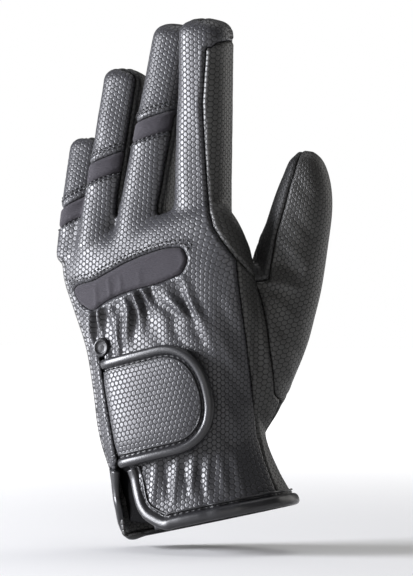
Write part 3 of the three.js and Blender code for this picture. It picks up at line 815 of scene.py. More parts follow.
def lay_pattern(mesh: bpy.types.Mesh, flat: Array) -> None:
    """Gives a mesh its pattern map from flat coordinates of its points in millimetres."""
    corners = np.empty(len(mesh.loops), np.int32)
    mesh.loops.foreach_get("vertex_index", corners)
    layer = mesh.uv_layers.new(name="pattern")
    layer.data.foreach_set("uv", (flat[corners] / MAP_UNIT).astype(np.float32).ravel())


def link(name: str, mesh: bpy.types.Mesh) -> bpy.types.Object:
    """Puts a mesh in the scene as an object of its own, shaded smooth."""
    mesh.polygons.foreach_set("use_smooth", np.ones(len(mesh.polygons), bool))
    body = bpy.data.objects.new(name, mesh)
    bpy.context.scene.collection.objects.link(body)
    return body


class Signal:
    """A value that varies over a surface, and that sums are written with."""

    def __init__(self, looks: Looks, socket: bpy.types.NodeSocket) -> None:
        """Wraps a node's output."""
        self.looks = looks
        self.socket = socket

    def math(self, operation: str, *others: Any, swap: bool = False) -> Signal:
        """Adds a Math node.

        Args:
            operation: the node's operation.
            others: the other values.
            swap: whether this value comes second.

        Returns:
            The result.
        """
        values = [self, *others]
        if swap:
            values.reverse()
        return self.looks.node("ShaderNodeMath", {"operation": operation}, values)

    def __add__(self, other: Any) -> Signal:
        """The sum."""
        return self.math("ADD", other)

    def __sub__(self, other: Any) -> Signal:
        """The difference."""
        return self.math("SUBTRACT", other)

    def __rsub__(self, other: Any) -> Signal:
        """The difference, the other value first."""
        return self.math("SUBTRACT", other, swap=True)

    def __mul__(self, other: Any) -> Signal:
        """The product."""
        return self.math("MULTIPLY", other)

    def __truediv__(self, other: Any) -> Signal:
        """The quotient."""
        return self.math("DIVIDE", other)

    __radd__ = __add__

    def step(self, low: float, high: float) -> Signal:
        """A smooth step from 0 at low to 1 at high."""
        inputs = {"Value": self, "From Min": low, "From Max": high}
        return self.looks.node("ShaderNodeMapRange", {"interpolation_type": "SMOOTHSTEP"}, inputs)


class Looks:
    """A material's nodes, ending in one Principled shader."""

    def __init__(self, name: str) -> None:
        """Starts an empty material."""
        self.material = bpy.data.materials.new(name)
        self.material.use_nodes = True
        self.tree = self.material.node_tree
        self.tree.nodes.clear()
        self.shader = self.tree.nodes.new("ShaderNodeBsdfPrincipled")
        out = self.tree.nodes.new("ShaderNodeOutputMaterial")
        self.tree.links.new(self.shader.outputs[0], out.inputs[0])

    def node(self, kind: str, settings: dict[str, Any], inputs: Any, output: int | str = 0) -> Signal:
        """Adds a node.

        Args:
            kind: the node's type.
            settings: its settings, set first.
            inputs: the values or signals of its sockets, in order or by name.
            output: which output to return.

        Returns:
            That output.
        """
        node = self.tree.nodes.new(kind)
        for name, value in settings.items():
            setattr(node, name, value)
        pairs = inputs.items() if isinstance(inputs, dict) else enumerate(inputs)
        for name, value in pairs:
            self.feed(node.inputs[name], value)
        return Signal(self, node.outputs[output])

    def feed(self, socket: bpy.types.NodeSocket, value: Any) -> None:
        """Links or sets a socket."""
        if isinstance(value, Signal):
            self.tree.links.new(value.socket, socket)
        else:
            socket.default_value = value

    def surface(self, **inputs: Any) -> None:
        """Feeds the shader's sockets, named with _ for each space."""
        for name, value in inputs.items():
            self.feed(self.shader.inputs[name.replace("_", " ")], value)

    def noise(self, size: float, detail: float = 2.0, stretch: tuple[float, ...] = (1, 1, 1)) -> Signal:
        """Noise in object space with features of about this size in millimetres."""
        place = self.node("ShaderNodeTexCoord", {}, {}, "Object")
        scale = tuple(k / (size * MM) for k in stretch)
        moved = self.node("ShaderNodeMapping", {}, {"Vector": place, "Scale": scale})
        return self.node("ShaderNodeTexNoise", {}, {"Vector": moved, "Scale": 1.0, "Detail": detail})

    def blend(self, share: Signal, low: tuple[float, ...], high: tuple[float, ...]) -> Signal:
        """A colour between two."""
        inputs = {0: share, 6: (*low, 1), 7: (*high, 1)}
        return self.node("ShaderNodeMix", {"data_type": "RGBA"}, inputs, 2)

    def bump(self, height: Signal, depth: float) -> Signal:
        """A bump of this depth in millimetres."""
        return self.node("ShaderNodeBump", {}, {"Height": height, "Distance": depth * MM})

    def pads(self, pitch: float) -> Signal:
        """Raised six-sided pads on the piece's pattern map, 0 in the grooves and 1 on top."""
        place = self.node("ShaderNodeUVMap", {"uv_map": "pattern"}, {})
        split = self.tree.nodes.new("ShaderNodeSeparateXYZ")
        self.tree.links.new(place.socket, split.inputs[0])
        across, along = (Signal(self, split.outputs[k]) * (MAP_UNIT / pitch) for k in (0, 1))
        rise = math.sqrt(3)
        edges = []
        for shift in (0.0, 0.5):
            x = ((along + shift).math("FRACT") - 0.5).math("ABSOLUTE")
            y = (((across / rise) + shift).math("FRACT") - 0.5).math("ABSOLUTE") * rise
            flat = x.math("MAXIMUM", x * 0.5 + y * (rise / 2))
            round_ = (x * x + y * y).math("SQRT")
            edges.append(flat * 0.6 + round_ * 0.4)
        return edges[0].math("MINIMUM", edges[1])


@dataclass(frozen=True)
class Leather:
    """Embossed synthetic leather: raised pads with grooves between them, the grooves darkened with painted
    shade.
    """

    name: str
    pad: Triple
    # the grooves' colour: painted shade in the recesses, far darker than the pads
    groove: Triple
    gloss: float
    pitch: float = 2.35
    relief: float = 0.11

    def material(self) -> bpy.types.Material:
        """The material."""
        looks = Looks(self.name)
        edge = looks.pads(self.pitch)
        pad = edge.step(0.488, 0.4)
        dome = edge.step(0.5, 0.3)
        dimple = edge.step(0.15, 0.0)
        grain = looks.noise(0.35)
        cloud = looks.noise(14.0)
        tone = pad * (0.86 + cloud * 0.28)
        looks.surface(
            # the pad mask blends from the painted groove shade up to the pad colour
            Base_Color=looks.blend(tone, self.groove, self.pad),
            Roughness=(0.8 - pad * (0.8 - self.gloss)) + (grain - 0.5) * 0.16,
            Normal=looks.bump(dome - dimple * 0.1 + grain * 0.12, self.relief),
            Specular_IOR_Level=0.5,
        )
        return looks.material


@dataclass(frozen=True)
class Knit:
    """Fine stretch fabric."""

    name: str
    colour: Triple
    shine: float = 0.25
    sheen: float = 0.06

    def material(self) -> bpy.types.Material:
        """The material."""
        looks = Looks(self.name)
        yarn = looks.noise(0.62, 1.0, (0.4, 0.4, 2.0))
        cloud = looks.noise(9.0)
        dark = tuple(0.66 * c for c in self.colour)
        looks.surface(
            Base_Color=looks.blend(yarn * 0.7 + cloud * 0.5 - 0.1, dark, self.colour),
            Roughness=0.82 + (yarn - 0.5) * 0.1,
            Normal=looks.bump(yarn, 0.3),
            Sheen_Weight=self.sheen,
            Specular_IOR_Level=self.shine,
        )
        return looks.material


@dataclass(frozen=True)
class Smooth:
    """Smooth edging or thread, with a faint grain."""

    name: str
    colour: Triple
    gloss: float
    grain: float = 0.05

    def material(self) -> bpy.types.Material:
        """The material."""
        looks = Looks(self.name)
        grain = looks.noise(0.6)
        cloud = looks.noise(8.0)
        light = tuple(1.25 * c for c in self.colour)
        looks.surface(
            Base_Color=looks.blend(cloud, self.colour, light),
            Roughness=self.gloss + (grain - 0.5) * 0.14,
            Normal=looks.bump(grain, self.grain),
            Specular_IOR_Level=0.5,
        )
        return looks.material


class Finish(Enum):
    """The finishes of the glove's pieces; each value's name is its slot in the record."""

    BACK = Leather("back_leather", (0.027, 0.027, 0.031), (0.003, 0.003, 0.0035), 0.4)
    # SIDE is the back leather again for the panels on the shaded side; its olive tint is a painted warm
    # reflection
    SIDE = Leather("side_leather", (0.026, 0.0255, 0.024), (0.003, 0.003, 0.003), 0.45)
    # FORK is a darker copy of the leather: painted shade between the fingers and on the thumb's side wall
    FORK = Leather("fork_leather", (0.009, 0.009, 0.0095), (0.003, 0.003, 0.003), 0.5, relief=0.1)
    STRETCH = Knit("stretch_fabric", (0.028, 0.0252, 0.031))
    EDGING = Smooth("edging", (0.012, 0.012, 0.0135), 0.36)
    # GUSSET is near-black with almost no shine: painted shade inside the slit
    GUSSET = Knit("gusset_fabric", (0.003, 0.003, 0.0033), 0.04, 0.0)

    @property
    def slot(self) -> str:
        """The record's slot."""
        return self.value.name


THREAD = Smooth("thread", (0.01, 0.01, 0.011), 0.4)
_made: dict[str, bpy.types.Material] = {}


def material_of(finish: Leather | Knit | Smooth) -> bpy.types.Material:
    """The finish's material, made once."""
    if finish.name not in _made:
        _made[finish.name] = finish.material()
    return _made[finish.name]


def place_piece(body: bpy.types.Object, finish: Finish, *nodes: str) -> None:
    """Gives a piece its finish and its place in the frame.

    Args:
        body: the piece.
        finish: its finish.
        nodes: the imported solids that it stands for.
    """
    if not body.data.materials:
        body.data.materials.append(material_of(finish.value))
    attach(body, "root")
    if nodes:
        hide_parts(*nodes)
    log.info("%s: %d faces", body.name, len(body.data.polygons))


@dataclass
class Wrinkle:
    """A soft fold along a line, in millimetres across and up in the camera's view."""

    x0: float
    z0: float
    x1: float
    z1: float
    width: float
    height: float

    def relief(self, place: Array) -> Array:
        """How far the fold pushes out at these places."""
        start, run = np.array([self.x0, self.z0]), np.array([self.x1 - self.x0, self.z1 - self.z0])
        rel = place - start
        t = rel @ run / (run @ run)
        gap = np.abs(rel @ np.array([run[1], -run[0]])) / math.hypot(*run)
        ends = np.clip(1 - (2 * np.clip(t, 0, 1) - 1) ** 4, 0, 1) * ((t > 0) & (t < 1))
        return self.height * np.exp(-((gap / self.width) ** 2)) * ends


def folds(*rows: tuple[float, ...]) -> tuple[Wrinkle, ...]:
    """Folds from rows of x0, z0, x1, z1, width and height."""
    return tuple(Wrinkle(*row) for row in rows)


BACK_FOLDS = folds(
    (-27.5, 24, -29.5, 6, 2.4, 0.9), (-21.0, 31, -24.5, 5, 2.0, 1.0), (-19.0, 28, -16.5, 9, 1.4, -0.8),
    (-12.4, 32, -14.6, 7, 1.7, 1.0), (-10.6, 27, -7.6, 10, 1.3, -0.7), (-5.4, 33, -7.0, 11, 1.6, 0.9),
    (-3.8, 27, -1.0, 8, 1.4, -0.6), (0.6, 33, 0.2, 12, 1.5, 0.6), (5.0, 33, 8.5, 12, 1.9, 0.5),
    (11, 34, 16, 12, 2.0, 0.45), (3.5, 60, 16, 36, 2.4, 0.55), (6, 72, 18, 52, 2.2, -0.45),
    (-1, 92, 15, 64, 3.0, 0.7), (-7, 97, 5, 72, 2.4, 0.9), (-11, 92, -1, 77, 1.8, -0.6),
    (3, 99, 14, 80, 2.6, -0.5), (-17, 88, -9, 75, 1.6, -0.45), (2, 47, 13, 30, 2.0, -0.4),
    (-50, 90, -47, 80, 1.2, -0.8), (-44, 90, -39.5, 74, 1.2, -0.9),
)
CRESCENT_FOLDS = folds(
    (-49.5, 104, -48, 90, 0.9, 0.55), (-43.5, 107, -41.5, 93, 0.9, 0.6), (-38.5, 108, -37, 97, 0.9, 0.5),
    (-30, 111, -29, 100, 1.2, 0.3),
)
SIDE_FOLDS = folds(
    (16, 100, 27, 70, 2.4, 0.5), (19, 70, 29, 42, 2.0, 0.5), (22, 40, 25, 14, 2.0, 0.5),
    (25, 36, 31, 12, 1.8, -0.5),
)
THUMB_FOLDS = folds(
    (27, 105.5, 42, 101, 2.0, 0.9), (28, 115, 42, 108, 4.2, -1.9), (30, 126, 46, 108, 3.0, 0.6),
    (27, 99, 44, 84, 2.2, 0.45), (29, 90, 42, 70, 2.2, -0.45), (36, 136, 48, 122, 2.6, -0.5),
    (31, 82, 39, 58, 2.0, 0.4), (37, 152, 46, 140, 2.4, -0.35),
)
FOLDS = {
    "back_panel": BACK_FOLDS, "crescent_insert": CRESCENT_FOLDS, "thumb_strip": SIDE_FOLDS,
    "thumb_panel": THUMB_FOLDS, "thumb_side": THUMB_FOLDS,
}
STRIP_SEAM = np.array([(12.8, 114.8), (20.6, 107.0), (30, 98)])


@dataclass
class Gathers:
    """The shirring below the crescent: crests that fan out downwards and die away."""

    top: Rows = ((-52, -41, -29, -16, -4, 12), (92, 92.4, 99.5, 103.5, 107, 108))
    height: float = 1.35
    fall: float = 26
    width: float = 50
    fan: float = 16
    slant: float = 2
    crests: float = 9.5
    crowding: float = 2.2
    sharpness: float = 0.8

    def relief(self, x: Array, z: Array) -> Array:
        """How far the gathers push out at these places."""
        t = (np.interp(x, *self.top) - z) / self.fall
        s = (x - self.top[0][0] - self.slant * t) / (self.width + self.fan * t)
        phase = 2 * np.pi * (self.crests * s - self.crowding * s * s)
        wave = np.cos(phase + 0.9 * np.sin(11 * s + 4 * t) + 0.8 * np.sin(6 * t - 8 * s))
        sharp = np.sign(wave) * np.abs(wave) ** self.sharpness * (0.75 + 0.45 * np.sin(14 * s + 5 * t))
        reach = ease(t, -0.12, 0.06) * ease(t, 1.15 - 0.2 * np.cos(17 * s), 0.3)
        return self.height * sharp * reach * ease(s, -0.12, 0.02) * ease(s, 1.06, 0.86)


@dataclass
class LeatherShell:
    """The glove's leather and stretch panels, cut from one skin along the seams."""

    form: GloveForm
    depth: float = 1.4
    roll: float = 1.5
    sink: float = 0.85
    score_levels: tuple[float, ...] = (0.45, 1.1)
    fine_heights: Pair = (68, 106)
    fine_right: float = 14
    puff: float = 0.28
    puff_reach: Pair = (2.2, 8)
    row_gaps: Pair = (1.5, 3.0)
    thread_lift: float = 0.22
    row_turn: Pair = (-66, 44)
    row_start: float = 30
    row_clear: float = 27
    row_front: float = -60
    crescent_clear: float = 0.2
    ray_length: float = 80
    side_round: float = 15
    side_middle: float = 2
    index_foot: Pair = (90, 136)
    index_deep: Pair = (100, 136)
    foot_shift: float = 14
    tip_radius: float = 11
    foot_growth: float = 9
    strip_turn: float = 0.4
    fork_turn: float = 0.35
    thumb_lean: float = 16
    lip: float = 0.26
    lip_place: float = 1.7
    lip_width: float = 0.8
    sway: float = 0.22
    sway_start: float = 6
    band_width: float = 9.4
    crescent_length: float = 62
    crescent_width: float = 15
    crescent_up: float = 0.741
    crescent_side: float = -0.69
    gathers: Gathers = field(default_factory=Gathers)
    index_cap: Rows = ((0, 2, 4.5, 11.4), (206.5, 206.6, 208.6, 210.4))
    outer_line: Rows = ((90, 116), (-15, -67.6))
    fork_reach: float = 24
    thumb_deepest: float = 2.0
    slit_deepest: float = -4
    back_share: Pair = (-0.69, -0.52)
    palm_share: Pair = (0.62, 0.45)
    panels: dict[str, Shell] = field(default_factory=dict)
    trees: dict[str, BVHTree] = field(default_factory=dict)

    def cut(self) -> None:
        """Cuts the skin into its panels."""
        form = self.form
        index, middle, ring, little = form.fingers
        skin = self.opened(form.skin())
        thumb, hand = self.cut_thumb(skin)
        to_palm, to_back = self.over_seam(hand, self.palm_share), self.over_seam(hand, self.back_share)
        outer = np.interp(hand.points[:, 2], *self.outer_line) - hand.points[:, 0]
        front, palm = hand.split(np.maximum(to_palm, np.minimum(to_back, outer)))
        place = seen(front.points)
        side_line = np.interp(place[:, 1], SIDE_SEAM[:, 1], SIDE_SEAM[:, 0])
        cap = np.interp(place[:, 0], *self.index_cap) - place[:, 1]
        back, sides = front.split(np.minimum(place[:, 0] - side_line, cap))
        back, forks = back.split(np.minimum(self.over_seam(back, self.back_share), -self.beside(back, index)))
        back, palm = self.cut_slit(back, palm)
        for name, right in (("little_ring", ring), ("ring_middle", middle), ("middle_index", index)):
            fork, forks = forks.split(self.beside(forks, right))
            self.panels[f"fork_strip_{name}"] = fork.largest()
        place = seen(sides.points)
        strip, side = sides.split(place[:, 1] - np.interp(place[:, 0], *STRIP_SEAM.T))
        self.panels["thumb_strip"], self.panels["index_side"] = strip.largest(), side.largest()
        self.panels["palm_panel"] = palm.largest()
        self.panels["thumb_side"], self.panels["thumb_panel"] = thumb
        for finger in (middle, ring, little):
            back = self.cut_band(back, finger)
        crescent, back = back.split(outline_distance(back.points[:, [0, 2]], self.crescent()))
        self.panels["crescent_insert"] = crescent.largest()
        self.panels["back_panel"] = back.largest()

    def opened(self, skin: Shell) -> Shell:
        """The skin without its closed wrist end."""
        down = self.form.cuff_down()
        _, rest = skin.split(-(skin.points @ down))
        return rest

    def cut_thumb(self, skin: Shell) -> tuple[tuple[Shell, Shell], Shell]:
        """The thumb's inner strip and panel, and the rest of the skin."""
        thumb, hand = skin.split(outline_distance(seen(skin.points, self.thumb_deepest), THUMB_SEAM))
        inner, outer = thumb.split(outline_distance(seen(thumb.points, self.thumb_deepest), THUMB_RIDGE))
        return (inner.largest(), outer.largest()), hand.largest()

    def over_seam(self, shell: Shell, shares: Pair) -> Array:
        """Each point's height over a seam towards the palm."""
        x, y, z = shell.points.T
        return y - self.form.seam_height(x, z, *shares)

    def beside(self, shell: Shell, finger: FingerForm) -> Array:
        """How far each point lies to the thumb's side of a finger's middle line, above the fork's foot."""
        across, along = finger.flat_place(shell.points[:, 0], shell.points[:, 2])
        return np.maximum(across, -(along + self.fork_reach)) if finger.name != "index" else across

    def cut_slit(self, back: Shell, rest: Shell) -> tuple[Shell, Shell]:
        """Opens the slit at the little-finger side of the wrist."""
        form = self.form
        place = np.linspace(0, SLIT_STATIONS.last, 200)
        x, z, half = form.slit_line(place)
        outward = form.outward(x, z)
        half = half * np.abs(outward[:, 1]) / np.hypot(outward[:, 0], outward[:, 1])

        def open_distance(shell: Shell) -> Array:
            """Each point's distance from the slit's edge, negative inside it."""
            px, py, pz = shell.points.T
            side = px - np.interp(pz, z, x)
            gap = np.abs(side) - np.interp(pz, z, half) - (side > 0) * form.corner(pz)
            return np.maximum(np.maximum(gap, pz - z[-1]), py - self.slit_deepest)

        _, back = back.split(open_distance(back))
        _, rest = rest.split(open_distance(rest))
        return back, rest

    def cut_band(self, back: Shell, finger: FingerForm) -> Shell:
        """Cuts one finger's stretch band and tip from the back.

        Args:
            back: the back panel so far.
            finger: the finger.

        Returns:
            What is left of the back panel.
        """
        rise = finger.over_band(back.points[:, 0], back.points[:, 2])
        upper, back = back.split(np.maximum(self.outside(back, finger), -(rise + self.band_width / 2)))
        rise = finger.over_band(upper.points[:, 0], upper.points[:, 2])
        band, tip = upper.split(rise - self.band_width / 2)
        self.panels[f"{finger.name}_band"], self.panels[f"{finger.name}_tip"] = band.largest(), tip.largest()
        return back

    def outside(self, shell: Shell, finger: FingerForm) -> Array:
        """How far points lie outside a finger, with its neighbours left out."""
        x, _, z = shell.points.T
        fingers = self.form.fingers
        at = [other.name for other in fingers].index(finger.name)

        def edge(other: FingerForm, side: int) -> Array:
            """The x of a finger's side at each height."""
            rise = (z - other.root[2]) / other.along[2]
            return other.root[0] + other.along[0] * rise + side * other.breadth / 2

        out = np.abs(finger.flat_place(x, z)[0]) - 0.6 * finger.breadth
        out = np.maximum(out, x - (edge(finger, 1) + edge(fingers[at - 1], -1)) / 2)
        if at + 1 < len(fingers):
            out = np.maximum(out, (edge(finger, -1) + edge(fingers[at + 1], 1)) / 2 - x)
        return out

    def crescent(self, grow: float = 0.0) -> Array:
        """The crescent's outline seen from the back, grown by a distance."""
        place = np.linspace(0, CRESCENT_EDGES.last, 60)
        x = self.crescent_side * self.form.palm_breadth - grow
        x = x + CRESCENT_EDGES.at("along", place) * (self.crescent_length + 2 * grow)
        z = self.crescent_up * self.form.palm_length
        low = np.stack([x, z + CRESCENT_EDGES.at("low", place) * self.crescent_width - grow], 1)
        high = np.stack([x, z + CRESCENT_EDGES.at("high", place) * self.crescent_width + grow], 1)
        return np.concatenate([low, high[::-1]])

    def shaped(self, name: str, shell: Shell) -> tuple[Shell, Array]:
        """A panel with its folds, its rolled edges and its pattern's coordinates.

        Args:
            name: the panel's name.
            shell: the panel as cut.

        Returns:
            The shaped panel, and flat coordinates for its pattern.
        """
        if name == "back_panel":
            x, _, z = shell.points.T
            low, high = self.fine_heights
            shell = shell.refined((z > low) & (z < high) & (x < self.fine_right))
        for level in self.score_levels:
            shell = shell.scored(shell.rim_distance() - level)
        x, _, z = shell.points.T
        flat = self.pattern(name, shell)
        normals = shell.normals()
        away = shell.rim_distance()
        t = np.clip(away / self.roll, 0, 1)
        near, far = self.puff_reach
        rolled = self.sink * (1 - np.sqrt(1 - (1 - t) ** 2))
        push = self.puff * ease(away, 0, near) * ease(away, far, near) - rolled
        push += self.lip * np.exp(-(((away - self.lip_place) / self.lip_width) ** 2))
        sway = self.sway * np.sin(x / 5.3 + 0.7 * np.sin(z / 7.1))
        push += sway * np.sin(z / 8.7 + 0.9 * np.sin(x / 6.3)) * ease(away, 0, self.sway_start)
        if name == "back_panel":
            push += self.gathers.relief(x, z) * ease(away, 0.0, 1.2)
        if name in FOLDS:
            place = seen(shell.points)
            facing = ease(normals[:, 1], 0.35, -0.1)
            push += sum(fold.relief(place) for fold in FOLDS[name]) * ease(away, 0, 2.0) * facing
        shell.points = shell.points + push[:, None] * normals
        return shell, flat

    def pattern(self, name: str, shell: Shell) -> Array:
        """Flat coordinates for a panel's pattern: across it and along it."""
        x, y, z = shell.points.T
        finger = next((f for f in self.form.fingers if name in (f"{f.name}_tip", f"{f.name}_band")), None)
        if finger is not None:
            across, along = finger.flat_place(x, z)
            half = 0.5 * finger.breadth
            return np.stack([half * np.arcsin(np.clip(across / half, -0.99, 0.99)), along], 1)
        if name.startswith("thumb_"):
            if name == "thumb_strip":
                return np.stack([y + self.strip_turn * x, z], 1)
            across, through, up = self.form.thumb_section(np.linspace(0, THUMB_SECTIONS.last, 30)).middle.T
            turn = np.arctan2(y - np.interp(z, up, through), x - np.interp(z, up, across))
            lean = math.radians(self.thumb_lean)
            return np.stack([self.form.thumb_depth / 2 * turn, x * math.sin(lean) + z * math.cos(lean)], 1)
        if name.startswith(("fork", "index_side")):
            return np.stack([y + self.fork_turn * x, z], 1)
        if name == "back_panel":
            index = self.form.fingers[0]
            foot = ease(z, *self.index_foot[::-1])
            up = np.maximum(z - index.root[2], -60)
            turn = index.root[0] + index.along[0] * up + self.foot_shift * foot
            deep = (index.root[1] + index.along[1] * up) * ease(z, *self.index_deep)
            radius = self.tip_radius + self.foot_growth * foot
            angle = np.arctan2(np.maximum(x - turn, 0), np.maximum(deep - y, 0.01))
            return np.stack([np.minimum(x, turn) + radius * angle, z], 1)
        if name == "palm_panel":
            rows = self.form.hand_section(np.linspace(0, HAND_SECTIONS.last, 60))
            edge = np.interp(z, rows.middle[:, 2], rows.middle[:, 0] - rows.half_breadth * rows.across[:, 0])
            turn = edge + self.side_round
            angle = np.arctan2(np.maximum(turn - x, 0), np.maximum(y + self.side_middle, 0.01))
            return np.stack([np.maximum(x, turn) - self.side_round * angle, z], 1)
        return np.stack([x, z], 1)

    def build(self) -> None:
        """Makes all the panels."""
        self.cut()
        finishes = {
            "back": Finish.BACK, "tip": Finish.BACK, "band": Finish.STRETCH, "crescent": Finish.STRETCH,
            # the fork strips and the thumb's side wall take the darker leather as painted shade
            "fork": Finish.FORK, "thumb_side": Finish.FORK,
        }
        for name, panel in self.panels.items():
            shell, flat = self.shaped(name, panel)
            self.trees[name] = BVHTree.FromPolygons(shell.points.tolist(), shell.faces.tolist())
            body = solid_from(f"{name}_skin", shell, self.depth, flat)
            finish = next((f for key, f in finishes.items() if key in name), Finish.SIDE)
            place_piece(body, finish, name)

    def band_rows(self) -> list[Array]:
        """The double rows of stitches above and below each finger's band."""
        lines = []
        for finger in self.form.fingers[1:]:
            angle = np.radians(np.linspace(*self.row_turn, 40))
            half = finger.breadth / 2
            across = half * np.sin(angle)
            normal = unit(np.cross(finger.along, finger.across))
            normal = normal * np.sign(normal[1])
            out = np.sin(angle)[:, None] * finger.across - np.cos(angle)[:, None] * normal
            for sign, name in ((1, f"{finger.name}_tip"), (-1, "back_panel")):
                for gap in self.row_gaps:
                    along = finger.band * finger.length + across * math.tan(math.radians(finger.band_slope))
                    along = along + sign * (self.band_width / 2 + gap)
                    axis = finger.root + along[:, None] * finger.along
                    lines.append(self.laid(name, axis + self.row_start * out, -out, self.row_clear - half))
        return [line for line in lines if len(line) > 4]

    def crescent_rows(self) -> list[Array]:
        """The double row of stitches above the crescent."""
        lines = []
        for gap in self.row_gaps:
            edge = self.crescent(gap + self.crescent_clear)
            edge = edge[len(edge) // 2:][::-1][3:-4]
            start = np.stack([edge[:, 0], np.full(len(edge), self.row_front), edge[:, 1]], 1)
            lines.append(self.laid("back_panel", start, np.tile([0.0, 1.0, 0.0], (len(edge), 1))))
        return lines

    def laid(self, name: str, starts: Array, ways: Array, nearest: float = 0.0) -> Array:
        """The points where rays meet a panel, a little above it.

        Args:
            name: the panel.
            starts: where the rays start.
            ways: the rays' directions.
            nearest: rays that meet it sooner than this are left out.

        Returns:
            The points, one a row.
        """
        cast, far = self.trees[name].ray_cast, self.ray_length
        hits = [cast(Vector(a), Vector(b), far) for a, b in zip(starts, ways)]
        return np.array([
            np.array(spot) - self.thread_lift * way
            for (spot, _, _, gone), way in zip(hits, ways) if spot is not None and gone > nearest
        ])


@dataclass
class WristStrap:
    """The wrist strap with its rounded end and its edging."""

    form: GloveForm
    length: float = 52
    width: float = 48.5
    thickness: float = 2.0
    lift: float = 2.0
    root_lift: float = 0.5
    rise_share: float = 0.1
    slope: float = 13.0
    up: float = 0.34
    side: float = -0.423
    round_start: float = 0.56
    round_square: float = 2.3
    crown: float = 0.5
    roll: float = 4.2
    panel_clear: float = 1.5
    roll_height: float = 1.9
    roll_base: float = 1.1
    thread_height: float = 1.3
    bridge: float = 4.5
    root_shift: float = 2.6
    root_lean: float = -0.025

    def half(self, along: Array, inset: float) -> Array:
        """Half the strap's width at a distance from its root."""
        straight = self.round_start * self.length
        bend = np.maximum((along - straight) / (self.length - straight - inset), 0)
        share = np.maximum(1 - bend ** self.round_square, 0) ** (1 / self.round_square)
        return (self.width / 2 - inset) * share

    def point(self, along: Array, across: Array, lift: Array | float) -> Array:
        """A point of the strap, one a row, over the back of the hand."""
        slope = math.radians(self.slope)
        root = self.root_shift + self.root_lean * across
        along = root + along * (1 - root / self.length)
        x = self.side * self.form.palm_breadth + along * math.cos(slope) - across * math.sin(slope)
        z = self.up * self.form.palm_length + along * math.sin(slope) + across * math.cos(slope)
        rise = np.minimum(along / (self.rise_share * self.length), 1)
        height = self.root_lift + (self.lift - self.root_lift) * rise
        spot = self.form.back_point(x, z, np.maximum(height, 0) + lift)
        level = [self.form.back_point(x, z + k * self.bridge, 0)[:, 1] for k in (-2, -1, 0, 1, 2)]
        spot[:, 1] += np.mean(level, 0) - level[2]
        return spot

    def frames(self, along: Array, across: Array) -> tuple[Array, Array]:
        """Points under the strap and the directions out of it."""
        here = self.point(along, across, 0)
        out = np.cross(self.point(along, across + 0.5, 0) - here, self.point(along + 0.5, across, 0) - here)
        return here, unit(out) * np.where(out[:, 1:2] < 0, 1, -1)

    def panel(self) -> None:
        """The embossed middle."""
        inset = self.roll + self.panel_clear
        u = np.sin(np.linspace(0, np.pi / 2, 64)) * (self.length - inset - 0.01)
        v = np.linspace(-1, 1, 56)
        along, share = np.meshgrid(u, v, indexing="ij")
        across = share * self.half(along, inset)
        base, out = self.frames(along.ravel(), across.ravel())
        edge = np.minimum(1 - np.abs(share), (self.length - along) / self.length).ravel()
        top = base + (self.thickness + self.crown * ease(edge, 0, 0.3))[:, None] * out
        shell = sheet(top.reshape(len(u), len(v), 3), out)
        flat = np.stack([across.ravel(), along.ravel()], 1)
        place_piece(solid_from("strap_panel_skin", shell, self.thickness, flat), Finish.BACK, "strap_panel")

    def outline(self, count: int = 150) -> tuple[Array, Array]:
        """The strap's outline from root to root, as distances along and across, and the ways in from it."""
        rounded = self.round_start + (1 - self.round_start) * np.sin(np.linspace(0, 1, 300) * np.pi / 2)
        along = np.concatenate([np.linspace(0, self.round_start, 40)[:-1], rounded]) * self.length
        across = self.half(along, 0)
        line = np.concatenate([np.stack([along, across], 1), np.stack([along, -across], 1)[::-1][1:]])
        line = evenly(line, count)
        run = unit(np.gradient(line, axis=0))
        return line, np.stack([run[:, 1], -run[:, 0]], 1)

    def round_line(self, inset: float, height: float) -> Array:
        """The line round the strap at a distance inside its outline and a height over its underside."""
        line, inner = self.outline()
        at = line + inset * inner
        base, out = self.frames(np.maximum(at[:, 0], 0), at[:, 1])
        return base + height * out

    def edging(self) -> None:
        """The edging round the strap, with its stitched groove."""
        profile = edge_profile(self.roll, self.roll_height)
        rings = [self.round_line(inset, self.roll_base + height) for inset, height in profile]
        body = tube_body("strap_binding_skin", np.stack(rings, 1))
        place_piece(body, Finish.EDGING, "strap_binding")

    def stitches(self) -> list[Array]:
        """The line of stitches in the edging's groove."""
        return [self.round_line(self.roll + GROOVE_MIDDLE, self.thread_height)[3:-3]]


GROOVE_MIDDLE = 0.7
GROOVE_PROFILE = (
    (0.25, 0.1), (0.7, 0.0), (1.15, 0.15), (1.3, 0.75), (1.6, 1.0), (1.95, 0.9), (2.15, 0.45), (2.15, -0.3),
    (0.3, -0.8),
)


def edge_profile(roll: float, thickness: float) -> Array:
    """The edging's section: a full roll, a sewn groove and a thin lip.

    Args:
        roll: the roll's width.
        thickness: the roll's height over the panel.

    Returns:
        Distances from the outer edge and heights, one a row.
    """
    squareness, below = 0.85, 1.2
    turn = np.linspace(1.3, 0.06, 18) * np.pi
    reach, rise = (np.sign(wave) * np.abs(wave) ** squareness for wave in (np.cos(turn), np.sin(turn)))
    rolled = np.stack([roll / 2 * (1 + reach), np.where(rise > 0, thickness, below) * rise], 1)
    return np.concatenate([rolled, np.array(GROOVE_PROFILE) + [roll, 0]])


def tube_body(name: str, rings: Array) -> bpy.types.Object:
    """A closed body through rings of points, turned right side out."""
    points, faces = loft(rings)
    a, b, c = (points[faces[:, k]] for k in range(3))
    if (a * np.cross(b, c)).sum() < 0:
        faces = faces[:, ::-1]
    return link(name, mesh_from(name, points, faces))


def mixed(low: Array, high: Array, start: float, end: float, at: Array) -> Array:
    """What lies between two values, given at the start and the end of a stretch, at places on it."""
    return ((end - at) * low + (at - start) * high) / (end - start)


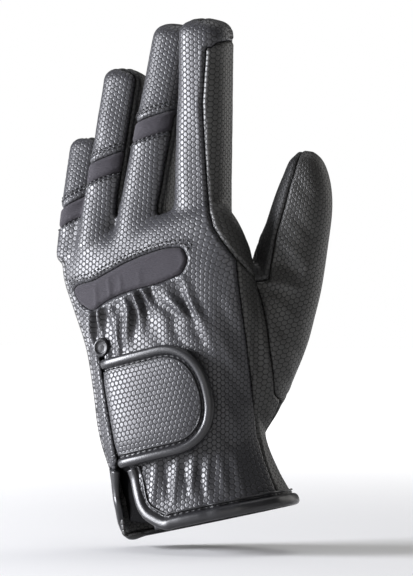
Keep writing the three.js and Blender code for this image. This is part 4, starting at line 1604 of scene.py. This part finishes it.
def centripetal(points: Array, count: int) -> Array:
    """A smooth line through unevenly spaced points, evenly spaced itself."""
    p = np.concatenate([[2 * points[0] - points[1]], points, [2 * points[-1] - points[-2]]])
    knot = np.concatenate([[0], np.cumsum(np.linalg.norm(np.diff(p, axis=0), axis=1) ** 0.5)])
    out = []
    for i in range(1, len(p) - 2):
        t = np.linspace(knot[i], knot[i + 1], 24, endpoint=False)[:, None]
        a = [mixed(p[i + k - 1], p[i + k], knot[i + k - 1], knot[i + k], t) for k in (0, 1, 2)]
        b = [mixed(a[k], a[k + 1], knot[i + k - 1], knot[i + 1 + k], t) for k in (0, 1)]
        out.append(mixed(b[0], b[1], knot[i], knot[i + 1], t))
    return evenly(np.concatenate([*out, points[-1:]]), count)


SLIT_EDGE_PLACES = np.array([3.0, 2.6, 2.2, 1.8, 1.5, 1.27, 1.12])
CUFF_BACK = np.array([-0.22, -0.1, 0.05, 0.25, 0.48, 0.7, 0.87, 0.96])
CUFF_PALM = np.array([1, 0.93, 0.78, 0.55, 0.3, 0, -0.3, -0.55, -0.78, -0.93, -1])


@dataclass
class CuffEdging:
    """The smooth edging round the cuff and up both sides of the slit."""

    form: GloveForm
    overhang: float = 0.9
    flap_overhang: float = 3.0
    flap_span: Pair = (0.85, 0.93)
    roll: float = 5.2
    roll_height: float = 2.2
    roll_base: float = 0.1
    thread_height: float = 0.3
    steps: int = 340
    skirt: float = 12
    even_rounds: int = 10

    def line(self) -> tuple[Array, Array]:
        """The leather's edge round the wrist opening and the slit, and the directions out of it."""
        form = self.form
        def beside(sign: float) -> Array:
            """The slit's edge on one side."""
            _, z, half = form.slit_line(SLIT_EDGE_PLACES)
            line = form.beside_slit(SLIT_EDGE_PLACES, 0, sign * half + max(sign, 0) * form.corner(z))
            return line if sign > 0 else line[:-2]

        cuff = form.hand_section(0)
        halves = (CUFF_BACK, -1.0), (CUFF_PALM, 1.0)
        ring = [cuff.ring(shares, np.full(len(shares), side))[0] for shares, side in halves]
        points = np.concatenate([beside(1), *ring, beside(-1)[::-1]])
        line = centripetal(points, self.steps)
        return line, self.outward(line)

    def outward(self, line: Array) -> Array:
        """The direction out of the hand at points near its surface."""
        rings = self.form.hand_section(np.linspace(0, 4, 30)).ring(*round_spots(80, 2.3))
        below = rings[:1] + self.skirt * self.form.cuff_down()
        points, faces = loft(np.concatenate([below, rings]), closed=False)
        shell = Shell(points, faces)
        tree = BVHTree.FromPolygons(shell.points.tolist(), shell.faces.tolist())
        normals = np.array([tree.find_nearest(Vector(p))[1] for p in line])
        normals = normals * np.where((line * normals)[:, :2].sum(1) < 0, -1, 1)[:, None]
        for _ in range(self.even_rounds):
            normals[1:-1] = (normals[:-2] + 2 * normals[1:-1] + normals[2:]) / 4
        return unit(normals)

    def frames(self) -> tuple[Array, Array, Array]:
        """The edge's line, the directions out of the hand and the directions into the panel."""
        line, out = self.line()
        run = unit(np.gradient(line, axis=0))
        inner = unit(np.cross(out, run))
        middle = len(line) // 2
        if inner[middle] @ self.form.cuff_down() > 0:
            inner = -inner
        return line, out, inner

    def build(self) -> list[Array]:
        """Makes the edging.

        Returns:
            The line of its stitches.
        """
        line, out, inner = self.frames()
        along = np.linspace(0, 1, len(line))
        shift = self.overhang + self.flap_overhang * ease(along, *self.flap_span)[:, None]
        rings = np.stack([
            line + (inset - shift) * inner + (height + self.roll_base) * out
            for inset, height in edge_profile(self.roll, self.roll_height)
        ], 1)
        place_piece(tube_body("cuff_binding_skin", rings), Finish.EDGING, "cuff_binding")
        return [(line + (self.roll + GROOVE_MIDDLE - shift) * inner + self.thread_height * out)[4:-4]]


STAY_PROFILE = (
    (0.7, -1.4), (0.92, -0.9), (1.0, -0.1), (0.99, 0.8), (0.93, 1.45), (0.83, 1.75), (0.72, 1.7), (0.64, 1.3),
    (0.55, 1.1), (0.3, 1.2), (0.08, 1.25),
)


@dataclass
class SlitParts:
    """The small stay at the head of the slit and the gusset behind it."""

    form: GloveForm
    stay_size: Pair = (7.6, 8.6)
    stay_shift: Pair = (1.4, 4.0)
    stay_lift: float = 0.6
    stay_up: Triple = (0.12, 0.0, 1.0)
    gusset_span: Pair = (0.95, 4.85)
    gusset_depth: float = 3.6
    gusset_margin: float = 3.0
    gusset_wall: float = 0.9

    def gusset(self) -> None:
        """The backing behind the slit, near-black as painted shade inside the slit."""
        place = np.linspace(*self.gusset_span, 60)
        _, _, half = self.form.slit_line(place)
        shares = np.linspace(-1, 1, 15)
        half = half + self.gusset_margin
        rows = [self.form.beside_slit(place, -self.gusset_depth, share * half) for share in shares]
        shell = sheet(np.stack(rows, 1), np.array([0, -1, 0]))
        place_piece(solid_from("slit_gusset_skin", shell, self.gusset_wall), Finish.GUSSET, "slit_gusset")

    def build(self) -> None:
        """Makes the stay and the gusset."""
        self.gusset()
        x, z, _ = self.form.slit_line(np.array([float(SLIT_STATIONS.last)]))
        spot = x[0] + self.stay_shift[0], z[0] + self.stay_shift[1], self.stay_lift
        here, out = self.form.back_point(*spot)[0], unit(self.form.outward(*spot)[0])
        up = unit(np.array(self.stay_up) - out * (np.array(self.stay_up) @ out))
        across = np.cross(up, out)
        turn = 2 * np.pi * np.arange(40) / 40
        rings = []
        for share, height in STAY_PROFILE:
            side = share * self.stay_size[0] / 2 * np.cos(turn)[:, None] * across
            rise = share * self.stay_size[1] / 2 * np.sin(turn)[:, None] * up
            rings.append(here + side + rise + height * out)
        place_piece(tube_body("slit_stay_skin", np.stack(rings)), Finish.EDGING, "slit_stay")


@dataclass
class Stitching:
    """Rows of stitches, laid on lines by a node tree."""

    length: float = 2.0
    pitch: float = 2.9
    width: float = 0.55

    def tree(self) -> bpy.types.NodeTree:
        """The node tree: stitches along a line, realized, with their thread."""
        tree = bpy.data.node_groups.new("stitch_rows", "GeometryNodeTree")
        face = tree.interface
        face.new_socket("Geometry", in_out="INPUT", socket_type="NodeSocketGeometry")
        for name in ("Pitch", "Length", "Width"):
            face.new_socket(name, in_out="INPUT", socket_type="NodeSocketFloat")
        face.new_socket("Thread", in_out="INPUT", socket_type="NodeSocketMaterial")
        face.new_socket("Geometry", in_out="OUTPUT", socket_type="NodeSocketGeometry")
        new = tree.nodes.new
        inlet, outlet = new("NodeGroupInput"), new("NodeGroupOutput")
        points = new("GeometryNodeCurveToPoints")
        points.mode = "LENGTH"
        ball = new("GeometryNodeMeshUVSphere")
        for socket, value in (("Segments", 6), ("Rings", 5), ("Radius", 0.5)):
            ball.inputs[socket].default_value = value
        size, lay = new("ShaderNodeCombineXYZ"), new("GeometryNodeInstanceOnPoints")
        real, dress = new("GeometryNodeRealizeInstances"), new("GeometryNodeSetMaterial")
        for start, output, end, socket in (
            (inlet, "Geometry", points, "Curve"), (inlet, "Pitch", points, "Length"),
            (inlet, "Width", size, 0), (inlet, "Width", size, 1), (inlet, "Length", size, 2),
            (points, "Points", lay, "Points"), (ball, "Mesh", lay, "Instance"),
            (points, "Rotation", lay, "Rotation"), (size, 0, lay, "Scale"), (lay, 0, real, 0),
            (real, 0, dress, "Geometry"), (inlet, "Thread", dress, "Material"), (dress, 0, outlet, 0),
        ):
            tree.links.new(start.outputs[output], end.inputs[socket])
        return tree

    def build(self, name: str, lines: list[Array], finish: Finish) -> None:
        """Makes one piece of stitches.

        Args:
            name: the piece's name.
            lines: the lines to stitch along, points in millimetres.
            finish: the finish handed to place_piece, which adds its material only where the piece has none
                yet.
        """
        curve = bpy.data.curves.new(name, "CURVE")
        curve.dimensions = "3D"
        for line in lines:
            spline = curve.splines.new("POLY")
            spline.points.add(len(line) - 1)
            co = np.concatenate([np.asarray(line) * MM, np.ones((len(line), 1))], 1)
            spline.points.foreach_set("co", co.astype(np.float32).ravel())
        carrier = bpy.data.objects.new(f"{name}_line", curve)
        bpy.context.scene.collection.objects.link(carrier)
        tree = self.tree()
        rows = carrier.modifiers.new("rows", "NODES")
        rows.node_group = tree
        values = {"Pitch": self.pitch * MM, "Length": self.length * MM, "Width": self.width * MM,
                  "Thread": material_of(THREAD)}
        for socket in tree.interface.items_tree:
            if socket.in_out == "INPUT" and socket.name in values:
                rows[socket.identifier] = values[socket.name]
        done = carrier.evaluated_get(bpy.context.evaluated_depsgraph_get())
        mesh = bpy.data.meshes.new_from_object(done)
        bpy.data.objects.remove(carrier)
        mesh.name = name
        place_piece(link(name, mesh), finish)


LAMPS = (
    ("key", (-1.12, -0.68, 0.24), 0.6, 60, (0.93, 0.94, 1.0)),
    ("front", (0.5, -1.3, 0.3), 0.5, 1.6, (1.0, 0.96, 0.9)),
    ("top", (0.0, 0.2, 1.3), 0.9, 5, (1.0, 1.0, 1.0)),
    ("behind", (0.7, 1.1, 0.5), 0.9, 4, (1.0, 0.98, 0.95)),
)


@dataclass
class Studio:
    """The floor, the lights and the camera."""

    azimuth: float = VIEW_ANGLE
    scale: float = 0.44
    origin: Pair = (207, 520)
    frame: tuple[int, int] = (413, 576)
    away: float = 1.3
    sensor: float = 36
    floor_height: float = -0.0135
    floor_size: float = 4000
    floor_glow: Pair = (0.1, 1.2)
    sky: Pair = (0.13, 1.0)
    aim: Triple = (-0.01, 0, 0.11)

    def build(self) -> None:
        """Makes the floor, the lights and the camera."""
        scene = bpy.context.scene
        turn = math.radians(self.azimuth)
        right = Vector((math.cos(turn), math.sin(turn), 0))
        ahead = Vector((-math.sin(turn), math.cos(turn), 0))
        middle_x = (self.frame[0] / 2 - self.origin[0]) * self.scale * MM
        middle_z = (self.origin[1] - self.frame[1] / 2) * self.scale * MM
        data = bpy.data.cameras.new("camera")
        data.sensor_width = self.sensor
        data.lens = self.sensor * self.away / (self.frame[1] * self.scale * MM)
        data.clip_start, data.clip_end = 0.05, 50
        camera = bpy.data.objects.new("camera", data)
        camera.location = right * middle_x + Vector((0, 0, middle_z)) - ahead * self.away
        camera.rotation_euler = (math.pi / 2, 0, turn)
        scene.collection.objects.link(camera)
        scene.camera = camera
        self.floor()
        for lamp in LAMPS:
            self.light(*lamp)
        scene.view_settings.view_transform = "Standard"
        world = bpy.data.worlds.new("studio")
        world.use_nodes = True
        nodes, links = world.node_tree.nodes, world.node_tree.links
        path, sky = nodes.new("ShaderNodeLightPath"), nodes["Background"]
        level = nodes.new("ShaderNodeMapRange")
        level.inputs["To Min"].default_value, level.inputs["To Max"].default_value = self.sky
        links.new(path.outputs["Is Camera Ray"], level.inputs["Value"])
        links.new(level.outputs[0], sky.inputs["Strength"])
        sky.inputs["Color"].default_value = (1, 1, 1, 1)
        scene.world = world

    def floor(self) -> None:
        """The plain pale floor."""
        corners = ((-1, -1, 0), (1, -1, 0), (1, 1, 0), (-1, 1, 0))
        points = self.floor_size * np.array(corners, float)
        points[:, 2] = self.floor_height / MM
        body = link("floor", mesh_from("floor", points, np.array([[0, 1, 2], [0, 2, 3]])))
        looks = Looks("pale_floor")
        place = looks.node("ShaderNodeTexCoord", {}, {}, "Object")
        away = looks.node("ShaderNodeVectorMath", {"operation": "LENGTH"}, [place], 1)
        looks.surface(Base_Color=(0.85, 0.85, 0.85, 1), Roughness=0.9, Emission_Strength=1.0)
        glow = looks.blend(away.step(*self.floor_glow), (0, 0, 0), (0.9, 0.9, 0.9))
        looks.surface(Emission_Color=glow)
        body.data.materials.append(looks.material)

    def light(self, name: str, place: Triple, size: float, power: float, colour: Triple) -> None:
        """A soft square light that faces the glove.

        Args:
            name: the light's name.
            place: where it stands, in metres.
            size: its width, in metres.
            power: its power, in watts.
            colour: its colour.
        """
        data = bpy.data.lights.new(name, "AREA")
        data.size, data.energy, data.color = size, power, colour
        lamp = bpy.data.objects.new(name, data)
        lamp.location = place
        aim = Vector(self.aim) - Vector(place)
        lamp.rotation_euler = aim.to_track_quat("-Z", "Y").to_euler()
        bpy.context.scene.collection.objects.link(lamp)


def main() -> None:
    """Builds the glove piece by piece."""
    logging.basicConfig(level=logging.INFO, format="%(name)s: %(message)s")
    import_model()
    Studio().build()
    form = GloveForm()
    leather = LeatherShell(form)
    leather.build()
    strap = WristStrap(form)
    strap.panel()
    strap.edging()
    edge_line = CuffEdging(form).build()
    SlitParts(form).build()
    stitching = Stitching()
    stitching.build("edge_stitches", edge_line + strap.stitches(), Finish.EDGING)
    rows = Stitching(1.55, 2.2, 0.75)
    rows.build("panel_stitches", leather.band_rows() + leather.crescent_rows(), Finish.EDGING)


if __name__ == "__main__":
    main()
